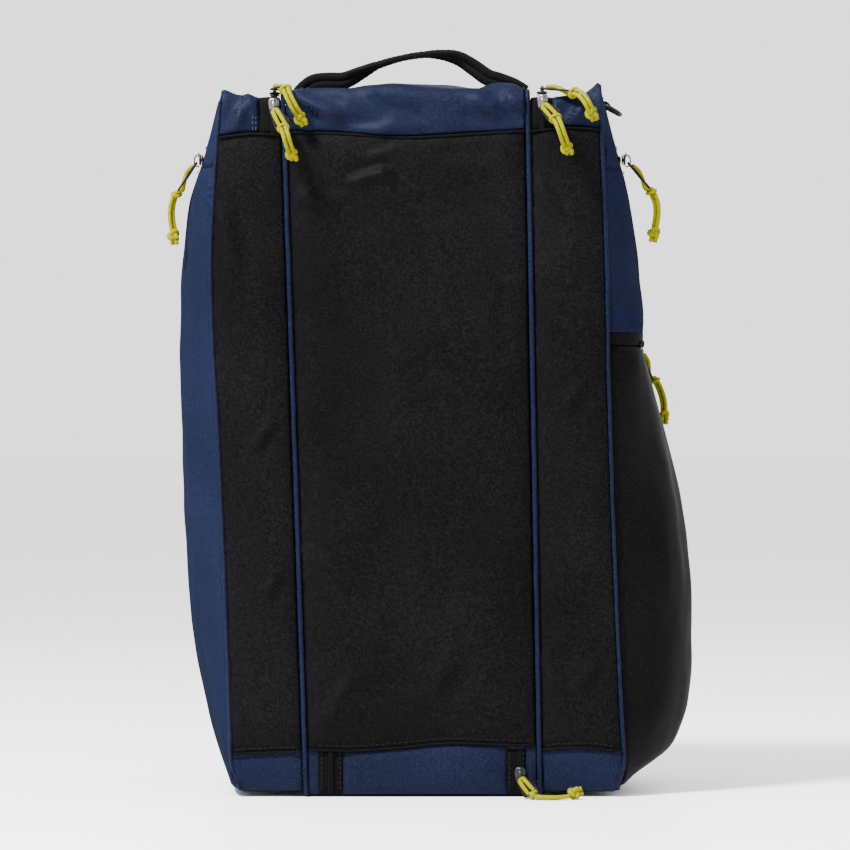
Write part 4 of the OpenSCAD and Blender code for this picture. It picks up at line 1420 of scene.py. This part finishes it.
for label, x_middle, seed in (("left", STRAP_X[0], 121), ("right", STRAP_X[1], 122)):
    back_pad(label, x_middle, seed)
    shoulder_strap(x_middle, "strap_" + label, seed)
    flat_band(f"strap_webbing_{label}", WEB_LINE, WEB_WIDTH, 1.8, x_middle, WEBBING, "back_door", "webbing",
              ["strap_webbings"])
    flat_band(f"tail_{label}_webbing", TAIL_LINE, WEB_WIDTH, 1.7, x_middle, WEBBING, label + "_tail",
              "webbing",
              ["tail_" + label])
    ladder_lock(label, x_middle)
    flat_band(f"strap_{label}_loop",
              ((strap_base + 31, 236), (strap_base + 28.6, 224), (LOCK_Y + 2.3, LOCK_Z + 17),
                                      (LOCK_Y + 2.0, LOCK_Z + 9)), WEB_WIDTH, 1.8, x_middle, WEBBING,
              "back_door", "webbing")
    for n, z in enumerate((61, 72)):
        stitches(f"strap_{label}_anchor_stitch_{n}",
                 [(x_middle + t, strap_base + 2.7, z) for t in (-10, -5, 0, 5, 10)],
                 (0, 1, 0), PALE_THREAD, "back_door", "webbing", width=0.7)

# ------------------------------------------------------------------ inside of the compartments


def room(name, left, right, low, high, y_near, y_far, closed_sides, seed):
    """Lining of a compartment, facing inward; closed_sides names the walls that are there."""
    def height(v):
        return mix(low, high, v)

    def wall(label, point, nu, nv):
        cloth(f"{name}_{label}", point, nu, nv, LINING, "bag", "black_fabric", (), 0.8)
    z_steps = max(6, int((high - low) / 14))
    y_steps = 18
    for label, edge, near, far, shift in (("left", left, y_near, y_far, 0), ("right", right, y_far, y_near, 1)):
        if label in closed_sides:
            wall(label, lambda u, v: (edge(height(v))
                                      + 0.8 * bump(u) * drift((u * 200, 0, v * 300), 40, seed + shift),
                                      mix(near, far, u), height(v)), y_steps, z_steps)
    if "front" in closed_sides:
        wall("front", lambda u, v: (mix(right(height(v)), left(height(v)), u),
                                    y_near + 0.5 * drift((u * 200, 0, v * 300), 40, seed + 2), height(v)),
             10, z_steps)
    if "back" in closed_sides:
        wall("back", lambda u, v: (mix(left(height(v)), right(height(v)), u), y_far, height(v)),
             10, z_steps)
    if "floor" in closed_sides:
        wall("floor", lambda u, v: (mix(left(low), right(low), u), mix(y_near, y_far, v), low), 10, y_steps)
    if "roof" in closed_sides:
        wall("roof", lambda u, v: (mix(left(high), right(high), u), mix(y_far, y_near, v), high), 10, y_steps)


room("main_room", lambda z: left_pipe(z) + 2.8, lambda z: right_pipe(z) - 2.8, 2.8, TOP - 5.5, Y_FRONT + 6.0,
     Y_BACK - 1,
     ("left", "right", "front", "floor", "roof"), 131)
room("left_room", lambda z: left_edge(z) + 2.8, lambda z: left_pipe(z) - 0.6, SIDE_FLOOR + 2.8,
     SIDE_TOP - 3.0,
     Y_FRONT + 6.0, Y_BACK - 3.2, ("left", "right", "front", "back", "floor"), 132)
room("right_room", lambda z: right_pipe(z) + 0.6, lambda z: right_edge(z) - 2.8, SIDE_FLOOR + 2.8,
     SIDE_TOP - 3.0,
     Y_FRONT + 6.0, Y_BACK - 3.2, ("left", "right", "front", "back", "floor"), 133)

# ------------------------------------------------------------------ grab handle

HANDLE_Y = -118.0
# x, z of the webbing's middle and how far it is turned from on edge (0) to flat (90)
HANDLE_LINE = ((-97, 563.5, 24), (-92, 568.5, 18), (-85, 573.2, 12), (-74, 574.4, 8), (-61, 574.8, 14),
               (-48, 580.5, 52), (-34, 587, 80), (-14, 592.8, 86), (5, 595.6, 84), (20, 595, 66),
               (32, 592, 42),
               (44, 584.5, 22), (54, 577.5, 12), (64, 574.2, 8), (75, 570, 14), (84, 564.5, 22))
HANDLE_WIDTH = 13.5
HANDLE_THICK = 3.6

handle_path = smooth_path([(x, HANDLE_Y, z) for x, z, angle in HANDLE_LINE], 2.0)


def handle_angle(x):
    for a, b in zip(HANDLE_LINE, HANDLE_LINE[1:]):
        if x <= b[0]:
            return math.radians(mix(a[2], b[2], max(0.0, (x - a[0]) / (b[0] - a[0]))))
    return math.radians(HANDLE_LINE[-1][2])


def handle_section(i, u, v):
    p = handle_path[i]
    tangent = ring_frame(handle_path, i, False)
    back = Vector((0, 1, 0))
    up = tangent.cross(back) * -1
    if up.z < 0:
        up = -up
    angle = handle_angle(p.x)
    wide = up * math.cos(angle) - back * math.sin(angle)
    thin = up * math.sin(angle) + back * math.cos(angle)
    w = HANDLE_WIDTH / 2 * (1 + 0.02 * drift((p.x, 0, 0), 9, 3))
    t = HANDLE_THICK / 2 * (1 + (0.08 if i % 2 else -0.08))
    groove = 0.72
    outline = ((1, -0.55), (1, 0.55), (0.93, 1), (0.5, 1.0), (0.06, 1.0), (0, groove), (-0.06, 1.0),
               (-0.5, 1.0),
               (-0.93, 1), (-1, 0.55), (-1, -0.55), (-0.93, -1), (-0.06, -1), (0, -groove), (0.06, -1),
               (0.93, -1))
    return [wide * w * a + thin * t * b for a, b in outline]


grip = swept("handle_webbing", handle_path, handle_section, WEBBING, None, "webbing", ["handle"])
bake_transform(grip)
for label, x0 in (("left", -98), ("right", 75)):
    def tab_point(u, v, x0=x0):
        x = mix(x0, x0 + 12, u)
        y = mix(HANDLE_Y - 12, HANDLE_Y + 12, v)
        return (x, y, 567.5 + 0.2 * drift((x, y, 0), 6, 9) - 0.6 * (1 - bump(v)))
    cloth(f"handle_tab_{label}", tab_point, 8, 16, WEBBING, "bag", "webbing", ["webbing_tabs"], 1.8)
    for n, y in enumerate((-9, 9)):
        stitches(f"handle_tab_{label}_stitch_{n}",
                 [(x0 + t, HANDLE_Y + y, 567.8) for t in (1.5, 4, 6, 8, 10.5)],
                 (0, 0, 1), PALE_THREAD, "bag", "webbing", width=0.6)

# ------------------------------------------------------------------ hanging ring

RING_PIVOT = Vector((151.5, -62.0, 557.5))
droop = Matrix.Translation(RING_PIVOT) @ Matrix.Rotation(math.radians(30), 4, "Y")
ring_line = [(0, -8, 0), (0, 8, 0), (0, 11.2, 0), (1.6, 12.4, 0), (6, 12.2, 0), (11, 9.6, 0), (13.4, 4.5, 0),
             (13.8, 0, 0), (13.4, -4.5, 0), (11, -9.6, 0), (6, -12.2, 0), (1.6, -12.4, 0), (0, -11.2, 0)]
ring_path = smooth_path([droop @ Vector(p) for p in ring_line], 1.2, closed=True)
swept("hanging_ring", ring_path, round_section(1.5, 14), PLASTIC, "hang_ring", "black_plastic", ["d_ring"],
      closed=True)
loop_line = [(144.5, 553), (148.0, 553.6), (151.5, 554.7), (154.3, 557.5), (151.5, 560.4), (147.5, 560.6),
             (144.5, 560.9)]
loop_path = smooth_path([(x, RING_PIVOT.y, z) for x, z in loop_line], 1.0)
swept("ring_tab", loop_path, strip_section(15.5, 1.6), WEBBING, "bag", "webbing", up=Vector((0.01, 0.01, 1)))
